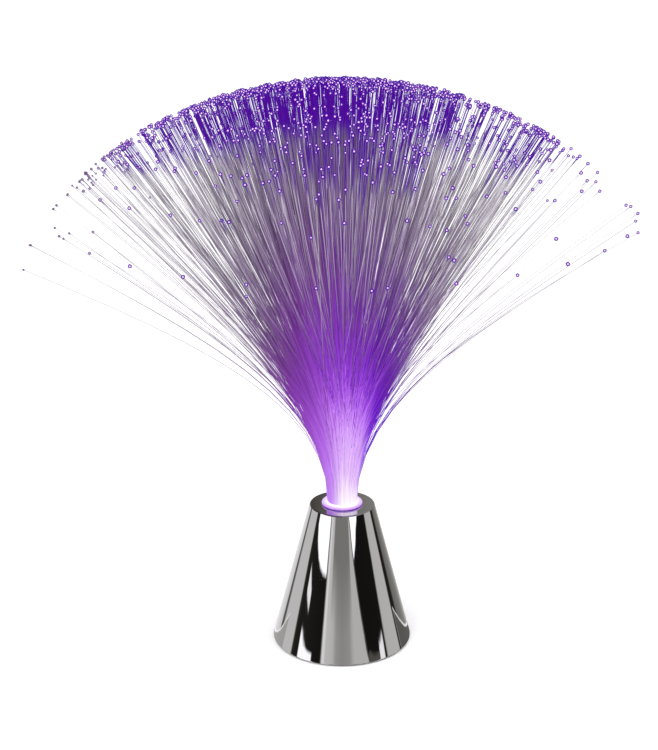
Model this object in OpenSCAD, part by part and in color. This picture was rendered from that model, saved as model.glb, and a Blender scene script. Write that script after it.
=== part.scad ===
// Battery lamp with a spray of optical fibres standing in a plated cone.
// Millimetres, +Z up. The origin is on the table, on the cone's axis.
// The cells lie along X and the switch is on the +Y side of the underside.

/* [Cone shell] */
// Outer diameter of the plated cone at its lower rim
base_d = 82; // [78:0.5:92]
// Outer diameter of the cone's flat top
top_d = 38; // [36:0.5:44]
// Height of the cone from its lower rim to its top face
cone_h = 84.5; // [80:0.5:96]
// Wall of the moulded cone
wall = 1.8; // [1.2:0.1:2.2]
// Thickness of the cone's flat top
top_t = 1.8; // [1.2:0.1:3]
// Rounding of the cone's top edge
top_round = 0.9; // [0.4:0.1:1.2]
// Rounding of the cone's lower rim
rim_round = 0.4; // [0.2:0.1:0.6]

/* [Base plate] */
// Thickness of the base plate
plate_t = 2.8; // [2.4:0.1:3.4]
// How far the plate's underside is set up inside the cone's rim
plate_recess = 0.6; // [0.2:0.1:1.2]
// Gap between the plate's edge and the cone's wall
plate_gap = 0.3; // [0.2:0.05:0.5]
// Plate left between the foot ring's groove and a base screw's recess
screw_land = 0.5; // [0.3:0.1:1.2]
// Outer radius of a screw boss in the cone
boss_r = 3.2; // [2.6:0.1:3.6]
// Length of a screw boss
boss_l = 15.6; // [12:0.2:20]
// Thickness of the ribs that tie bosses and posts to the cone's wall
rib_t = 1.4; // [1:0.1:2]

/* [Foot ring] */
// Height of the cone's rim above the table
rim_lift = 1; // [0.8:0.1:2]
// Width of the soft foot ring
foot_w = 2.4; // [2:0.1:2.8]
// How far the foot ring stands in from the plate's edge
foot_inset = 0.8; // [0.6:0.1:1.2]
// Depth of the groove that holds the foot ring
foot_sink = 0.5; // [0.3:0.1:0.8]
// Gap between the foot ring and each side of its groove
foot_gap = 0.1; // [0.05:0.05:0.2]

/* [Battery bay] */
// Diameter of a cell
cell_d = 10.5; // [10:0.1:10.8]
// Length of a cell with its nub
cell_l = 44.5; // [43:0.1:45.5]
// Gap between neighbouring cells
cell_gap = 0.4; // [0.2:0.1:0.6]
// Play round the cells inside the bay
cell_play = 0.3; // [0.2:0.05:0.5]
// Wall of the bay
bay_wall = 1.3; // [1:0.1:1.6]
// Thickness of the sheet contacts
contact_t = 0.5; // [0.3:0.1:0.8]
// Height of the pressed bump that meets a cell's nub
bump_h = 0.5; // [0.3:0.1:0.8]
// Length of a contact spring, pressed by its cell
spring_l = 4.4; // [4:0.1:5.2]
// Diameter of the spring wire
spring_wire = 0.6; // [0.4:0.05:0.6]
// Diameter of a spring at its seat
spring_d = 7.2; // [6.6:0.1:8]

/* [Battery door] */
// Thickness of the battery door
door_t = 1.6; // [1.2:0.1:1.8]
// Width of the ledge that the door closes against
door_ledge = 1.4; // [1:0.1:1.6]
// Gap round the door
door_gap = 0.3; // [0.2:0.05:0.4]
// Wall of the posts that take the door's screws
door_post_wall = 1; // [0.8:0.1:1.4]
// Length of the thumb grooves across the door
grip_l = 12; // [8:1:16]

/* [Switch] */
// Distance of the switch from the lamp's axis
switch_y = 25; // [24.4:0.1:26]
// Length of the switch housing
switch_l = 11.6; // [11:0.1:12.4]
// Width of the switch housing
switch_w = 5.6; // [5:0.1:6]
// Height of the switch housing
switch_h = 4.8; // [4:0.1:6]
// Length of the slider's button
slider_l = 5.2; // [4:0.1:5.6]
// Width of the slider's button
slider_w = 3; // [2.4:0.1:3.4]
// Travel of the slider between off and on
slider_travel = 3; // [2:0.1:3.4]
// How far the slider stands out below the plate
slider_proud = 0.4; // [0.2:0.1:0.6]

/* [Light] */
// Diameter of the circuit board
board_d = 39; // [37:0.5:41]
// Thickness of the circuit board
board_t = 1.6; // [1:0.1:2]
// Circle on which the board posts stand, as a radius
post_ring_r = 16.2; // [15.8:0.1:16.6]
// Outer radius of a board post
post_r = 2.5; // [2.1:0.1:2.7]
// Diameter of the light's clear body
led_d = 8; // [5:0.5:9]
// Length of the white tube that guides the light to the fibres
shroud_l = 9.7; // [9:0.1:14]
// Wall of the white tube
shroud_wall = 1.4; // [0.8:0.1:2]

/* [Collar] */
// Diameter of the fibre bundle where it is potted
bundle_d = 17.6; // [16:0.1:18]
// Diameter of the collar's flange
flange_d = 23.8; // [23:0.1:26]
// Thickness of the collar's flange
flange_t = 1.5; // [1:0.1:2.5]
// Outer diameter of the collar's sleeve
sleeve_d = 20.8; // [20.6:0.1:21.4]
// Depth to which the collar plugs into the cone
plug_l = 23.5; // [21:0.5:26]
// Wall of the metal ferrule round the bundle's end
ferrule_wall = 0.7; // [0.4:0.05:0.8]
// Length of the ferrule
ferrule_l = 14; // [8:0.5:18]
// Wall of the socket tube that hangs under the cone's top
socket_wall = 1.6; // [1.2:0.1:2]
// Play of the sleeve in its socket
socket_play = 0.1; // [0.05:0.01:0.2]

/* [Spray] */
// Distance from the cone's top to the tips of the upright fibres
spray_r = 244.5; // [180:0.5:300]
// Lean of the outer regular fibres' tips from the vertical, in degrees
spray_lean = 42; // [25:1:46]
// Lean at which the dense inner part of the spray ends, in degrees
inner_lean = 24; // [18:1:30]
// How far the innermost fibres' tips lean to the back, in degrees
lean_back = 10; // [0:1:12]
// How far the innermost fibres' tips lean to the left, in degrees
lean_left = 3; // [0:1:6]
// Lean of the few stray fibres that hang out at the sides, in degrees
stray_lean = 49; // [47:1:56]
// Shortening of a stray fibre's reach by its sag
stray_short = 12; // [0:1:30]
// Diameter of a modelled fibre
fibre_d = 0.6; // [0.4:0.05:0.66]
// Height over which a fibre rises before it bends out
rise_l = 62; // [40:1:80]
// Length of the nearly straight outer part of a fibre
reach_l = 106; // [80:1:120]
// Extra lean that sag gives to the end of a stray fibre, in degrees
sag_lean = 14; // [0:1:20]
// Rings of fibres in the bundle
fibre_rings = 10; // [8:1:11]

/* [Screws and leads] */
// Radius of a base screw's shank
base_screw_r = 1.2; // [1:0.05:1.4]
// Length of a base screw under its head
base_screw_l = 9; // [6:0.5:12]
// Radius of a door screw's shank
door_screw_r = 0.85; // [0.7:0.05:0.9]
// Radius of the shank of a board or switch screw
small_screw_r = 1; // [0.8:0.05:1.1]
// Length of a door screw under its head
door_screw_l = 5; // [4:0.5:6]
// Length of a board screw under its head
board_screw_l = 7; // [5:0.5:9]
// Diameter of an insulated lead
lead_d = 1.3; // [1:0.1:1.6]
// Gap between a screw and its hole
screw_fit = 0.05; // [0.03:0.01:0.08]

/* [Hidden] */
$fn = 64;
TUFTS = 6;

// Levels from the table up
eps = 0.01;
base_r = base_d / 2;
top_r = top_d / 2;
top_z = rim_lift + cone_h;
plate_z = rim_lift + plate_recess;
plate_top = plate_z + plate_t;
slope = atan((base_r - top_r) / cone_h);
under_top = top_z - top_t;

// Outer and inner radius of the cone at height z
function cone_r(z) = base_r + (top_r - base_r) * (z - rim_lift) / cone_h;
function bore_r(z) = cone_r(z) - wall / cos(slope);

// Screws: heads and the bosses' places
BOSS_TURNS = [50, 130, 270];
head_h = 1.5;
head_r = 2 * base_screw_r + 0.1;
head_room = 0.3;
small_head_h = 1;
small_head_r = 1.9 * small_screw_r;
door_head_r = 1.9 * door_screw_r;
screw_clear = 0.15;
base_web = 1.1;
boss_hole_l = base_screw_l + 1;

// Foot ring, and the circle of the base screws inside it
foot_top = plate_z + foot_sink;
foot_r = bore_r(plate_z) - plate_gap - foot_inset;
boss_ring_r = foot_r - foot_w - foot_gap - screw_land - head_room - head_r;

// Battery bay
lane = cell_d + cell_gap;
groove_r = cell_d / 2 + cell_play;
bay_w = 2 * (lane + groove_r);
bay_l = 2 * contact_t + bump_h + cell_l + spring_l + 0.15;
door_top = plate_z + door_t;
ledge_z = door_top + 0.1;
cell_z = door_top + 0.3 + cell_d / 2;
contact_w = 8.4;
contact_z0 = plate_top + 0.1;
contact_z1 = cell_z + 2.6;
pocket_t = contact_t + 0.05;
tab_w = 3;
tab_top = cell_z + groove_r + bay_wall + 2;
nub_r = 1.9;
nub_h = 0.9;

// Battery door and its two screws
door_l = bay_l + 2 * door_ledge;
door_w = bay_w + 2 * door_ledge;
door_head_gap = 0.2;
ear_r = door_head_r + door_head_gap + 0.6 + door_gap;
door_post_r = door_screw_r + door_post_wall;
door_screw_x = bay_l / 2 + bay_wall + door_post_r;
door_rib_h = 1;
door_rib_t = 1;

// Switch
well_l = slider_l + slider_travel + 6;
well_w = slider_w + 5;
well_depth = 1;
slot_gap = 0.3;
slot_l = slider_l + slider_travel + 2 * slot_gap;
slot_w = slider_w + 2 * slot_gap;
switch_ear_x = switch_l / 2 + 2.4;
switch_ear_t = 0.5;
switch_ear_r = 2.2;
switch_screw_l = switch_ear_t + 2;
stem_top = plate_top + 1.4;

// Collar, socket and light
bundle_r = bundle_d / 2;
sleeve_r = sleeve_d / 2;
socket_r = sleeve_r + socket_play;
socket_l = plug_l - 2;
plug_z = top_z - plug_l;
ferrule_in = bundle_r + 0.05;
ferrule_out = ferrule_in + ferrule_wall;
collar_top = top_z + flange_t;
board_top = plug_z - 0.3 - shroud_l;
board_z = board_top - board_t;
led_flange_h = 1;
led_body_h = 2.4;
led_leg = 0.3;
leg_step = 1.27;
leg_end = 1.2;
chip_y = 7.5;
resistor_y = -9;
capacitor_place = [-10, 2];
POST_TURNS = [90, 210, 330];

// Spray
plug_top = collar_top + 0.5;
root_z = plug_top - 1;
ring_step = (bundle_r - 0.25 - fibre_d / 2) / fibre_rings;
tuft_turn = 360 / TUFTS;
STRAY_STEP = 5;
STRAY_END = 200;
DRAWN_IN = 0.86;
// Stops along a fibre as shares of its curve, closest where it bends
FIBRE_STOPS = [0, 0.3, 0.6, 1];
FIBRE_SIDES = 3;

// ---------------------------------------------------------------- helpers

// Points of an arc in the profile plane
function arc(r, z, radius, from, to, steps = 6) = [
    for (i = [0:steps]) let (a = from + (to - from) * i / steps)
        [r + radius * cos(a), z + radius * sin(a)]
];

function unit(v) = v / norm(v);
function flat_to(u, t) = unit(u - t * (u * t));

// Directions along a path, and a side vector carried along it without twist
function tangents(path) = let (last = len(path) - 1) [
    for (i = [0:last]) unit(path[min(i + 1, last)] - path[max(i - 1, 0)])
];
function carried(t, u0) = [
    for (i = 0, u = flat_to(u0, t[0]); i < len(t); i = i + 1, u = flat_to(u, t[min(i, len(t) - 1)])) u
];

// A tube swept along a path: its points ring by ring, then its triangles
function tube_points(path, radius, sides, u0) = let (t = tangents(path), u = carried(t, u0)) [
    for (i = [0:len(path) - 1], k = [0:sides - 1]) let (a = 360 * k / sides)
        path[i] + radius * (cos(a) * u[i] + sin(a) * cross(t[i], u[i]))
];
function tube_faces(rings, sides, first = 0) = concat(
    [for (k = [1:sides - 2]) [first, first + k, first + k + 1]],
    [for (i = [0:rings - 2], k = [0:sides - 1], half = [0, 1])
        let (a = first + i * sides, b = a + sides, k2 = (k + 1) % sides)
        half == 0 ? [a + k, b + k, a + k2] : [a + k2, b + k, b + k2]],
    let (c = first + (rings - 1) * sides) [for (k = [1:sides - 2]) [c, c + k + 1, c + k]]
);

module tube(path, radius, sides, u0) {
    polyhedron(points = tube_points(path, radius, sides, u0), faces = tube_faces(len(path), sides));
}

// A smooth path through a few points
function blend(p, i, s) = let (
    last = len(p) - 1, a = p[max(i - 1, 0)], b = p[i], c = p[i + 1], d = p[min(i + 2, last)]
) 0.5 * (2 * b + s * (c - a) + s * s * (2 * a - 5 * b + 4 * c - d) + s * s * s * (3 * b - a - 3 * c + d));
function smooth(p, steps) = concat(
    [for (i = [0:len(p) - 2], k = [0:steps - 1]) blend(p, i, k / steps)], [p[len(p) - 1]]
);

// A screw that points up, with the underside of its head at z = 0
module screw(shank_r, length, top_radius, height) {
    difference() {
        rotate_extrude() polygon(concat(
            [[0, length], [0, -height]],
            arc(top_radius - 0.4, -height + 0.4, 0.4, -90, 0, 3),
            [[top_radius, 0], [shank_r, 0], [shank_r, length - shank_r], [0.3 * shank_r, length]]
        ));
        for (turn = [0, 90]) rotate(turn)
            translate([-0.62 * top_radius, -0.2, -height - eps])
                cube([1.24 * top_radius, 0.4, 0.55 * height]);
    }
}

// A flat bar with round ends, standing on z = 0
module slab(length, width, height) {
    translate([-(length - width) / 2, -width / 2, 0]) cube([length - width, width, height]);
    for (side = [-1, 1]) translate([side * (length - width) / 2, 0, 0]) cylinder(d = width, h = height);
}

// Three lanes along X, closed above by round vaults
module vaults(length, radius, low) {
    for (row = [-1:1]) translate([-length / 2, row * lane, cell_z])
        rotate([0, 90, 0]) cylinder(r = radius, h = length);
    translate([-length / 2, -lane - radius, low])
        cube([length, 2 * (lane + radius), cell_z - low]);
}

// ---------------------------------------------------------------- cone

module cone_shell() {
    corner_z = top_z - top_round;
    toe_z = rim_lift + rim_round;
    skin = concat(
        [[bore_r(rim_lift), rim_lift]],
        arc(cone_r(toe_z) - rim_round / cos(slope), toe_z, rim_round, -90, slope, 4),
        arc(cone_r(corner_z) - top_round / cos(slope), corner_z, top_round, slope, 90, 6),
        [[socket_r, top_z], [socket_r, top_z - socket_l],
         [socket_r + socket_wall, top_z - socket_l], [socket_r + socket_wall, under_top],
         [bore_r(under_top), under_top]]
    );
    color([0.78, 0.78, 0.80]) difference() {
        union() {
            rotate_extrude($fn = 128) polygon(skin);
            intersection() {
                translate([0, 0, rim_lift])
                    cylinder(r1 = base_r - wall / 2, r2 = top_r - wall / 2, h = cone_h - top_t / 2);
                union() {
                    for (turn = BOSS_TURNS) rotate(turn) boss_and_rib();
                    for (turn = POST_TURNS) rotate(turn) board_post();
                }
            }
        }
        for (turn = BOSS_TURNS) rotate(turn) translate([boss_ring_r, 0, plate_top - eps])
            cylinder(r = base_screw_r + screw_fit, h = boss_hole_l);
        for (turn = POST_TURNS) rotate(turn) translate([post_ring_r, 0, board_top - eps])
            cylinder(r = small_screw_r + screw_fit, h = board_screw_l);
    }
}

module boss_and_rib() {
    translate([boss_ring_r, 0, plate_top]) cylinder(r = boss_r, h = boss_l);
    translate([boss_ring_r, -rib_t / 2, plate_top]) cube([base_r - boss_ring_r, rib_t, boss_l]);
}

// A post runs from under the flat top down to the board, with a gusset out to the wall
module board_post() {
    translate([post_ring_r, 0, board_top]) cylinder(r = post_r, h = under_top - board_top + top_t / 2);
    translate([post_ring_r, -rib_t / 2, board_top + 3])
        cube([base_r - post_ring_r, rib_t, under_top - board_top - 3 + top_t / 2]);
}

// ---------------------------------------------------------------- underside

module base_plate() {
    color([0.09, 0.09, 0.10]) difference() {
        union() {
            translate([0, 0, plate_z]) cylinder(
                r1 = bore_r(plate_z) - plate_gap, r2 = bore_r(plate_top) - plate_gap, h = plate_t, $fn = 128
            );
            vaults(bay_l + 2 * bay_wall, groove_r + bay_wall, plate_top - eps);
            for (side = [-1, 1]) translate([side * door_screw_x, 0, plate_top - eps])
                cylinder(r = door_post_r, h = door_screw_l - 0.4);
        }
        // room for the cells and, at both ends, for the sheet contacts
        vaults(bay_l - 2 * pocket_t, groove_r, plate_z - eps);
        for (end = [-1, 1]) translate([end * (bay_l - pocket_t) / 2 - pocket_t / 2, 0, 0]) {
            translate([0, -bay_w / 2, plate_z - eps])
                cube([pocket_t, bay_w, contact_z1 + 0.1 - plate_z + eps]);
            translate([0, end * lane - tab_w / 2 - 0.1, cell_z]) cube([pocket_t, tab_w + 0.2, tab_top]);
        }
        // seat of the door and of its ears
        translate([-door_l / 2, -door_w / 2, plate_z - eps]) cube([door_l, door_w, ledge_z - plate_z + eps]);
        translate([0, 0, plate_z - eps])
            slab(2 * (door_screw_x + ear_r), 2 * ear_r, ledge_z - plate_z + eps);
        for (side = [-1, 1]) translate([side * door_screw_x, 0, plate_z])
            cylinder(r = door_screw_r + screw_fit, h = plate_t + door_screw_l - 1.4);
        // base screws
        for (turn = BOSS_TURNS) rotate(turn) translate([boss_ring_r, 0, plate_z - eps]) {
            cylinder(r = base_screw_r + screw_clear, h = plate_t + 1);
            cylinder(r = head_r + head_room, h = plate_t - base_web + eps);
        }
        // groove of the foot ring
        translate([0, 0, plate_z - eps]) difference() {
            cylinder(r = foot_r + foot_gap, h = foot_sink + eps, $fn = 128);
            translate([0, 0, -1]) cylinder(r = foot_r - foot_w - foot_gap, h = foot_sink + 2, $fn = 128);
        }
        // finger well and slot of the switch, with the pilot holes of its screws
        translate([0, switch_y, plate_z - eps]) slab(well_l, well_w, well_depth + eps);
        translate([-slot_l / 2, switch_y - slot_w / 2, plate_z]) cube([slot_l, slot_w, plate_t + 1]);
        for (side = [-1, 1]) translate([side * switch_ear_x, switch_y, plate_top - 2.2])
            cylinder(r = small_screw_r + screw_fit, h = 3);
    }
}

module foot_ring() {
    color([0.14, 0.14, 0.15]) rotate_extrude($fn = 128) polygon(concat(
        arc(foot_r - 0.3, 0.3, 0.3, -90, 0, 3),
        [[foot_r, foot_top], [foot_r - foot_w, foot_top]],
        arc(foot_r - foot_w + 0.3, 0.3, 0.3, 180, 270, 3)
    ));
}

module base_screws() {
    color([0.62, 0.62, 0.64]) for (turn = BOSS_TURNS) rotate(turn)
        translate([boss_ring_r, 0, plate_top - base_web])
            screw(base_screw_r, base_screw_l, head_r, head_h);
}

module battery_door() {
    l = door_l - 2 * door_gap;
    w = door_w - 2 * door_gap;
    rib_l = bay_l - 2 * pocket_t - 2 * door_gap;
    rib_w = bay_w - 2 * door_gap;
    color([0.11, 0.11, 0.12]) difference() {
        union() {
            translate([-l / 2, -w / 2, plate_z]) cube([l, w, door_t]);
            translate([0, 0, plate_z])
                slab(2 * (door_screw_x + ear_r - door_gap), 2 * (ear_r - door_gap), door_t);
            // frame that finds its way into the bay's mouth
            difference() {
                translate([-rib_l / 2, -rib_w / 2, door_top - eps]) cube([rib_l, rib_w, door_rib_h]);
                translate([-rib_l / 2 + door_rib_t, -rib_w / 2 + door_rib_t, door_top - 1])
                    cube([rib_l - 2 * door_rib_t, rib_w - 2 * door_rib_t, door_rib_h + 2]);
            }
        }
        for (side = [-1, 1]) translate([side * door_screw_x, 0, plate_z - eps]) {
            cylinder(r = door_screw_r + screw_clear, h = door_t + 1);
            cylinder(r = door_head_r + door_head_gap, h = small_head_h + eps);
        }
        // grip grooves for a thumb
        for (k = [-2:2]) translate([l / 4 + 2 * k - 0.4, -grip_l / 2, plate_z - eps])
            cube([0.8, grip_l, 0.4]);
    }
}

module door_screws() {
    color([0.62, 0.62, 0.64]) for (side = [-1, 1])
        translate([side * door_screw_x, 0, plate_z + small_head_h])
            screw(door_screw_r, door_screw_l, door_head_r, small_head_h);
}

// ---------------------------------------------------------------- battery

// facing = 1 puts the nub at +X
module cell(row, facing) {
    r = cell_d / 2;
    body = cell_l - nub_h;
    nub_x = bay_l / 2 - contact_t - bump_h - 0.05;
    color([0.20, 0.22, 0.26]) translate([facing * nub_x, row * lane, cell_z])
        rotate([0, facing * 90, 0]) translate([0, 0, -cell_l]) rotate_extrude() polygon(concat(
            [[0, 0.2], [r - 1.4, 0.2], [r - 1.4, 0]],
            arc(r - 0.5, 0.5, 0.5, -90, 0, 3),
            arc(r - 0.7, body - 0.7, 0.7, 0, 90, 4),
            [[nub_r + 0.6, body], [nub_r + 0.6, body - 0.2], [nub_r, body - 0.2],
             [nub_r, cell_l - 0.25], [nub_r - 0.25, cell_l], [0, cell_l]]
        ));
}

// A sheet contact against the bay's end wall: low and high edge in Y, bumps and solder tab
module contact(end, y0, y1, bumps = [], tab = false) {
    x0 = end > 0 ? bay_l / 2 - contact_t : -bay_l / 2;
    color([0.80, 0.79, 0.74]) {
        translate([x0, y0, contact_z0]) cube([contact_t, y1 - y0, contact_z1 - contact_z0]);
        for (y = bumps) translate([end * (bay_l / 2 - contact_t), y, cell_z])
            rotate([0, -end * 90, 0]) translate([0, 0, -eps])
                cylinder(r1 = 1.9, r2 = 1.3, h = bump_h + eps);
        if (tab) translate([x0, (y0 + y1 - tab_w) / 2, contact_z1 - eps])
            cube([contact_t, tab_w, tab_top - contact_z1 + eps]);
    }
}

function coil(turns) = let (
    rise = spring_l - spring_wire - 0.1, r0 = (spring_d - spring_wire) / 2, r1 = 0.55 * r0
) [for (i = [0:8 * turns]) let (f = i / (8 * turns), r = r0 + (r1 - r0) * f)
    [r * cos(45 * i), r * sin(45 * i), spring_wire / 2 + 0.05 + rise * f]];

spring_path = coil(3.5);
spring_gap = min([for (i = [0:len(spring_path) - 1], j = [i + 5:1:len(spring_path) - 1])
    norm(spring_path[i] - spring_path[j])]) - spring_wire;
echo(least_gap_between_spring_turns = spring_gap);

module contact_springs() {
    seat = bay_l / 2 - contact_t;
    color([0.82, 0.82, 0.80]) for (place = [[-1, 1], [1, 0], [-1, -1]])
        translate([place[0] * seat, place[1] * lane, cell_z]) rotate([0, -place[0] * 90, 0])
            tube(spring_path, spring_wire / 2, 6, [0, 0, 1]);
}

// ---------------------------------------------------------------- switch

module switch_body() {
    color([0.72, 0.72, 0.73]) difference() {
        union() {
            translate([-switch_l / 2, switch_y - switch_w / 2, plate_top])
                cube([switch_l, switch_w, switch_h]);
            translate([0, switch_y, plate_top])
                slab(2 * (switch_ear_x + switch_ear_r), 2 * switch_ear_r, switch_ear_t);
            for (k = [-1:1]) translate([3.2 * k - 0.7, switch_y - 0.25, plate_top + switch_h - eps])
                cube([1.4, 0.5, 2.6]);
        }
        translate([-slot_l / 2, switch_y - slot_w / 2, plate_top - eps]) cube([slot_l, slot_w, 1.8]);
        for (side = [-1, 1]) translate([side * switch_ear_x, switch_y, plate_top - eps])
            cylinder(r = small_screw_r + screw_clear, h = 1);
    }
}

// The slider stands at the lit end of its slot
module switch_slider() {
    low = plate_z - slider_proud;
    color([0.85, 0.85, 0.84]) translate([slider_travel / 2, switch_y, 0]) {
        translate([-slider_l / 2, -slider_w / 2, low + 0.4]) cube([slider_l, slider_w, stem_top - low - 0.4]);
        for (k = [-2:2]) translate([k * (slider_l - 0.6) / 4 - 0.3, -slider_w / 2, low])
            cube([0.6, slider_w, 0.5]);
    }
}

module switch_screws() {
    color([0.62, 0.62, 0.64]) for (side = [-1, 1])
        translate([side * switch_ear_x, switch_y, plate_top + switch_ear_t]) rotate([180, 0, 0])
            screw(small_screw_r, switch_screw_l, small_head_r, small_head_h);
}

// ---------------------------------------------------------------- light

module circuit_board() {
    color([0.10, 0.36, 0.20]) translate([0, 0, board_z]) difference() {
        cylinder(d = board_d, h = board_t);
        for (turn = POST_TURNS) rotate(turn) translate([post_ring_r, 0, -1])
            cylinder(r = small_screw_r + screw_clear, h = board_t + 2);
        for (k = [0:3]) translate([(k - 1.5) * leg_step, 0, -1])
            cylinder(r = led_leg + 0.05, h = board_t + 2);
    }
}

module board_screws() {
    color([0.62, 0.62, 0.64]) for (turn = POST_TURNS) rotate(turn)
        translate([post_ring_r, 0, board_z]) screw(small_screw_r, board_screw_l, small_head_r, small_head_h);
}

module colour_led() {
    r = led_d / 2;
    color([0.93, 0.90, 0.98, 0.7]) translate([0, 0, board_top]) {
        rotate_extrude() polygon(concat(
            [[0, 0], [r + 0.5, 0], [r + 0.5, led_flange_h], [r, led_flange_h]],
            arc(0, led_flange_h + led_body_h, r, 0, 90, 10)
        ));
        for (k = [0:3]) translate([(k - 1.5) * leg_step, 0, -board_t - leg_end])
            cylinder(r = led_leg, h = board_t + leg_end + eps);
    }
}

module light_shroud() {
    color([0.96, 0.96, 0.95]) translate([0, 0, board_top]) difference() {
        cylinder(r = socket_r + 0.1, h = shroud_l);
        translate([0, 0, -1]) cylinder(r = socket_r + 0.1 - shroud_wall, h = shroud_l + 2);
    }
}

module controller_chip() {
    color([0.06, 0.06, 0.07]) translate([0, chip_y, board_z]) {
        translate([-2.5, -2, -1.6]) cube([5, 4, 1.4]);
        for (k = [0:3], side = [-1, 1]) translate([(k - 1.5) * leg_step - 0.2, 0, 0]) {
            translate([0, side > 0 ? 2 - eps : -2.5, -1]) cube([0.4, 0.5 + eps, 0.3]);
            translate([0, side > 0 ? 2.3 : -2.6, -1]) cube([0.4, 0.3, 1]);
            translate([0, side > 0 ? 2.3 : -3.1, -0.2]) cube([0.4, 0.8, 0.2]);
        }
    }
}

module board_resistors() {
    color([0.12, 0.11, 0.10]) for (k = [-1:1]) translate([3.6 * k - 0.8, resistor_y, board_z - 0.6])
        cube([1.6, 3.2, 0.6]);
}

module board_capacitor() {
    color([0.16, 0.17, 0.30]) translate([capacitor_place[0], capacitor_place[1], board_z]) rotate([180, 0, 0])
        rotate_extrude() polygon(concat(
            [[0, 0], [2.2, 0], [2.5, 0.3], [2.5, 0.9], [2.3, 1.2], [2.5, 1.5]],
            arc(2.1, 6.6, 0.4, 0, 90, 3), [[0, 7]]
        ));
}

// ---------------------------------------------------------------- leads

// Soldered ends, and points in between chosen by hand
tab_x = bay_l / 2 - contact_t / 2;
pin_z = plate_top + switch_h + 2.6;
positive_route = [
    [tab_x, lane, tab_top], [tab_x, lane + 1, 23], [19, 17, 25], [10, 22, 22], [3.2, switch_y, pin_z + 3],
    [3.2, switch_y, pin_z]
];
switched_route = [
    [0, switch_y, pin_z], [0, switch_y, pin_z + 3], [1, switch_y - 1, 24], [5, 20, 34], [8, 13, 43],
    [8, 12, board_z - 3], [8, 12, board_z]
];
negative_route = [
    [-tab_x, -lane, tab_top], [-tab_x, -lane, 24], [-20, -11, 34], [-11.5, -8.6, 43],
    [-10, -8, board_z - 3], [-10, -8, board_z]
];

module lead(route) {
    tube(smooth(route, 5), lead_d / 2, 8, [0.2, 1, 0.1]);
}

module lead_positive() {
    color([0.75, 0.08, 0.08]) lead(positive_route);
}

module lead_switched() {
    color([0.80, 0.45, 0.08]) lead(switched_route);
}

module lead_negative() {
    color([0.08, 0.08, 0.08]) lead(negative_route);
}

// ---------------------------------------------------------------- collar

module spray_collar() {
    q = flange_t / 2;
    color([0.86, 0.80, 0.95, 0.8]) rotate_extrude($fn = 96) polygon(concat(
        [[ferrule_out + 0.05, plug_z], [sleeve_r - 0.3, plug_z], [sleeve_r, plug_z + 0.6], [sleeve_r, top_z]],
        arc(flange_d / 2 - q, top_z + q, q, -90, 90, 8),
        [[bundle_r + 0.1, collar_top], [bundle_r + 0.1, plug_z + ferrule_l + 0.1],
         [ferrule_out + 0.05, plug_z + ferrule_l + 0.1]]
    ));
}

module bundle_ferrule() {
    color([0.72, 0.73, 0.75]) translate([0, 0, plug_z]) difference() {
        cylinder(r = ferrule_out, h = ferrule_l);
        translate([0, 0, -1]) cylinder(r = ferrule_in, h = ferrule_l + 2);
    }
}

// ---------------------------------------------------------------- spray

// Each ring is turned by its own part of a step on its way up, so that no seam shows
function ring_turn(ring) = tuft_turn / ring * ((ring * 0.618) % 1 - 0.5);

// The outer ring has a few fibres that hang out at the sides, none of them at the right front
function strays(ring, place, turn) =
    ring == fibre_rings && place % STRAY_STEP == 2 && abs(cos(turn)) > 0.5 && turn < STRAY_END;

// How far a ring's fibres lean: evenly inside, wider at the edge, where every second one is drawn in
function ring_lean(ring, place) = let (
    share = (ring - 0.2) / (fibre_rings - 0.2),
    lean = inner_lean * pow(share, 1.15) + (spray_lean - inner_lean) * pow(share, 6)
) ring == fibre_rings && place % 2 == 1 ? lean * DRAWN_IN : lean;

// Where a fibre's tip leans, in x and y: the innermost lean a little to the back and the left
function tip_lean(lean, turn) = let (
    shift = max(0, 1 - pow(lean / spray_lean, 2))
) [lean * cos(turn) - lean_left * shift, lean * sin(turn) + lean_back * shift];

// One fibre: straight up from the root, then out to the dome
function fibre_path(ring, place, tuft) = let (
    turn = ((place + 0.5) / ring + tuft) * tuft_turn,
    fan = turn + ring_turn(ring),
    leans = tip_lean(strays(ring, place, fan) ? stray_lean : ring_lean(ring, place), fan),
    lean = norm(leans),
    out = leans / lean,
    sag = pow(lean / stray_lean, 2),
    reach = spray_r - stray_short * pow(sag, 2),
    aim = lean + sag_lean * sag,
    root = [ring_step * ring * cos(turn), ring_step * ring * sin(turn), root_z],
    rise = root + [0, 0, rise_l],
    tip = [reach * sin(lean) * out.x, reach * sin(lean) * out.y, top_z + reach * cos(lean)],
    drawn = tip - reach_l * [sin(aim) * out.x, sin(aim) * out.y, cos(aim)]
) [for (t = FIBRE_STOPS) let (u = 1 - t)
    u * u * u * root + 3 * u * u * t * rise + 3 * u * t * t * drawn + t * t * t * tip];

FIBRE_PLACES = [for (ring = [1:fibre_rings], place = [0:ring - 1]) [ring, place]];

// A sixth of the bundle: the strands of one sector, rooted in their slice of the potting
module fibre_tuft(tuft) {
    points = [for (p = FIBRE_PLACES) let (turn = ((p[1] + 0.5) / p[0] + tuft) * tuft_turn)
        each tube_points(fibre_path(p[0], p[1], tuft), fibre_d / 2, FIBRE_SIDES, [-sin(turn), cos(turn), 0])];
    faces = [for (i = [0:len(FIBRE_PLACES) - 1])
        each tube_faces(len(FIBRE_STOPS), FIBRE_SIDES, i * FIBRE_SIDES * len(FIBRE_STOPS))];
    color([0.60, 0.40, 0.90]) {
        rotate(tuft * tuft_turn) translate([0, 0, plug_z])
            rotate_extrude(angle = tuft_turn) square([bundle_r, plug_top - plug_z]);
        polyhedron(points = points, faces = faces);
    }
}

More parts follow.
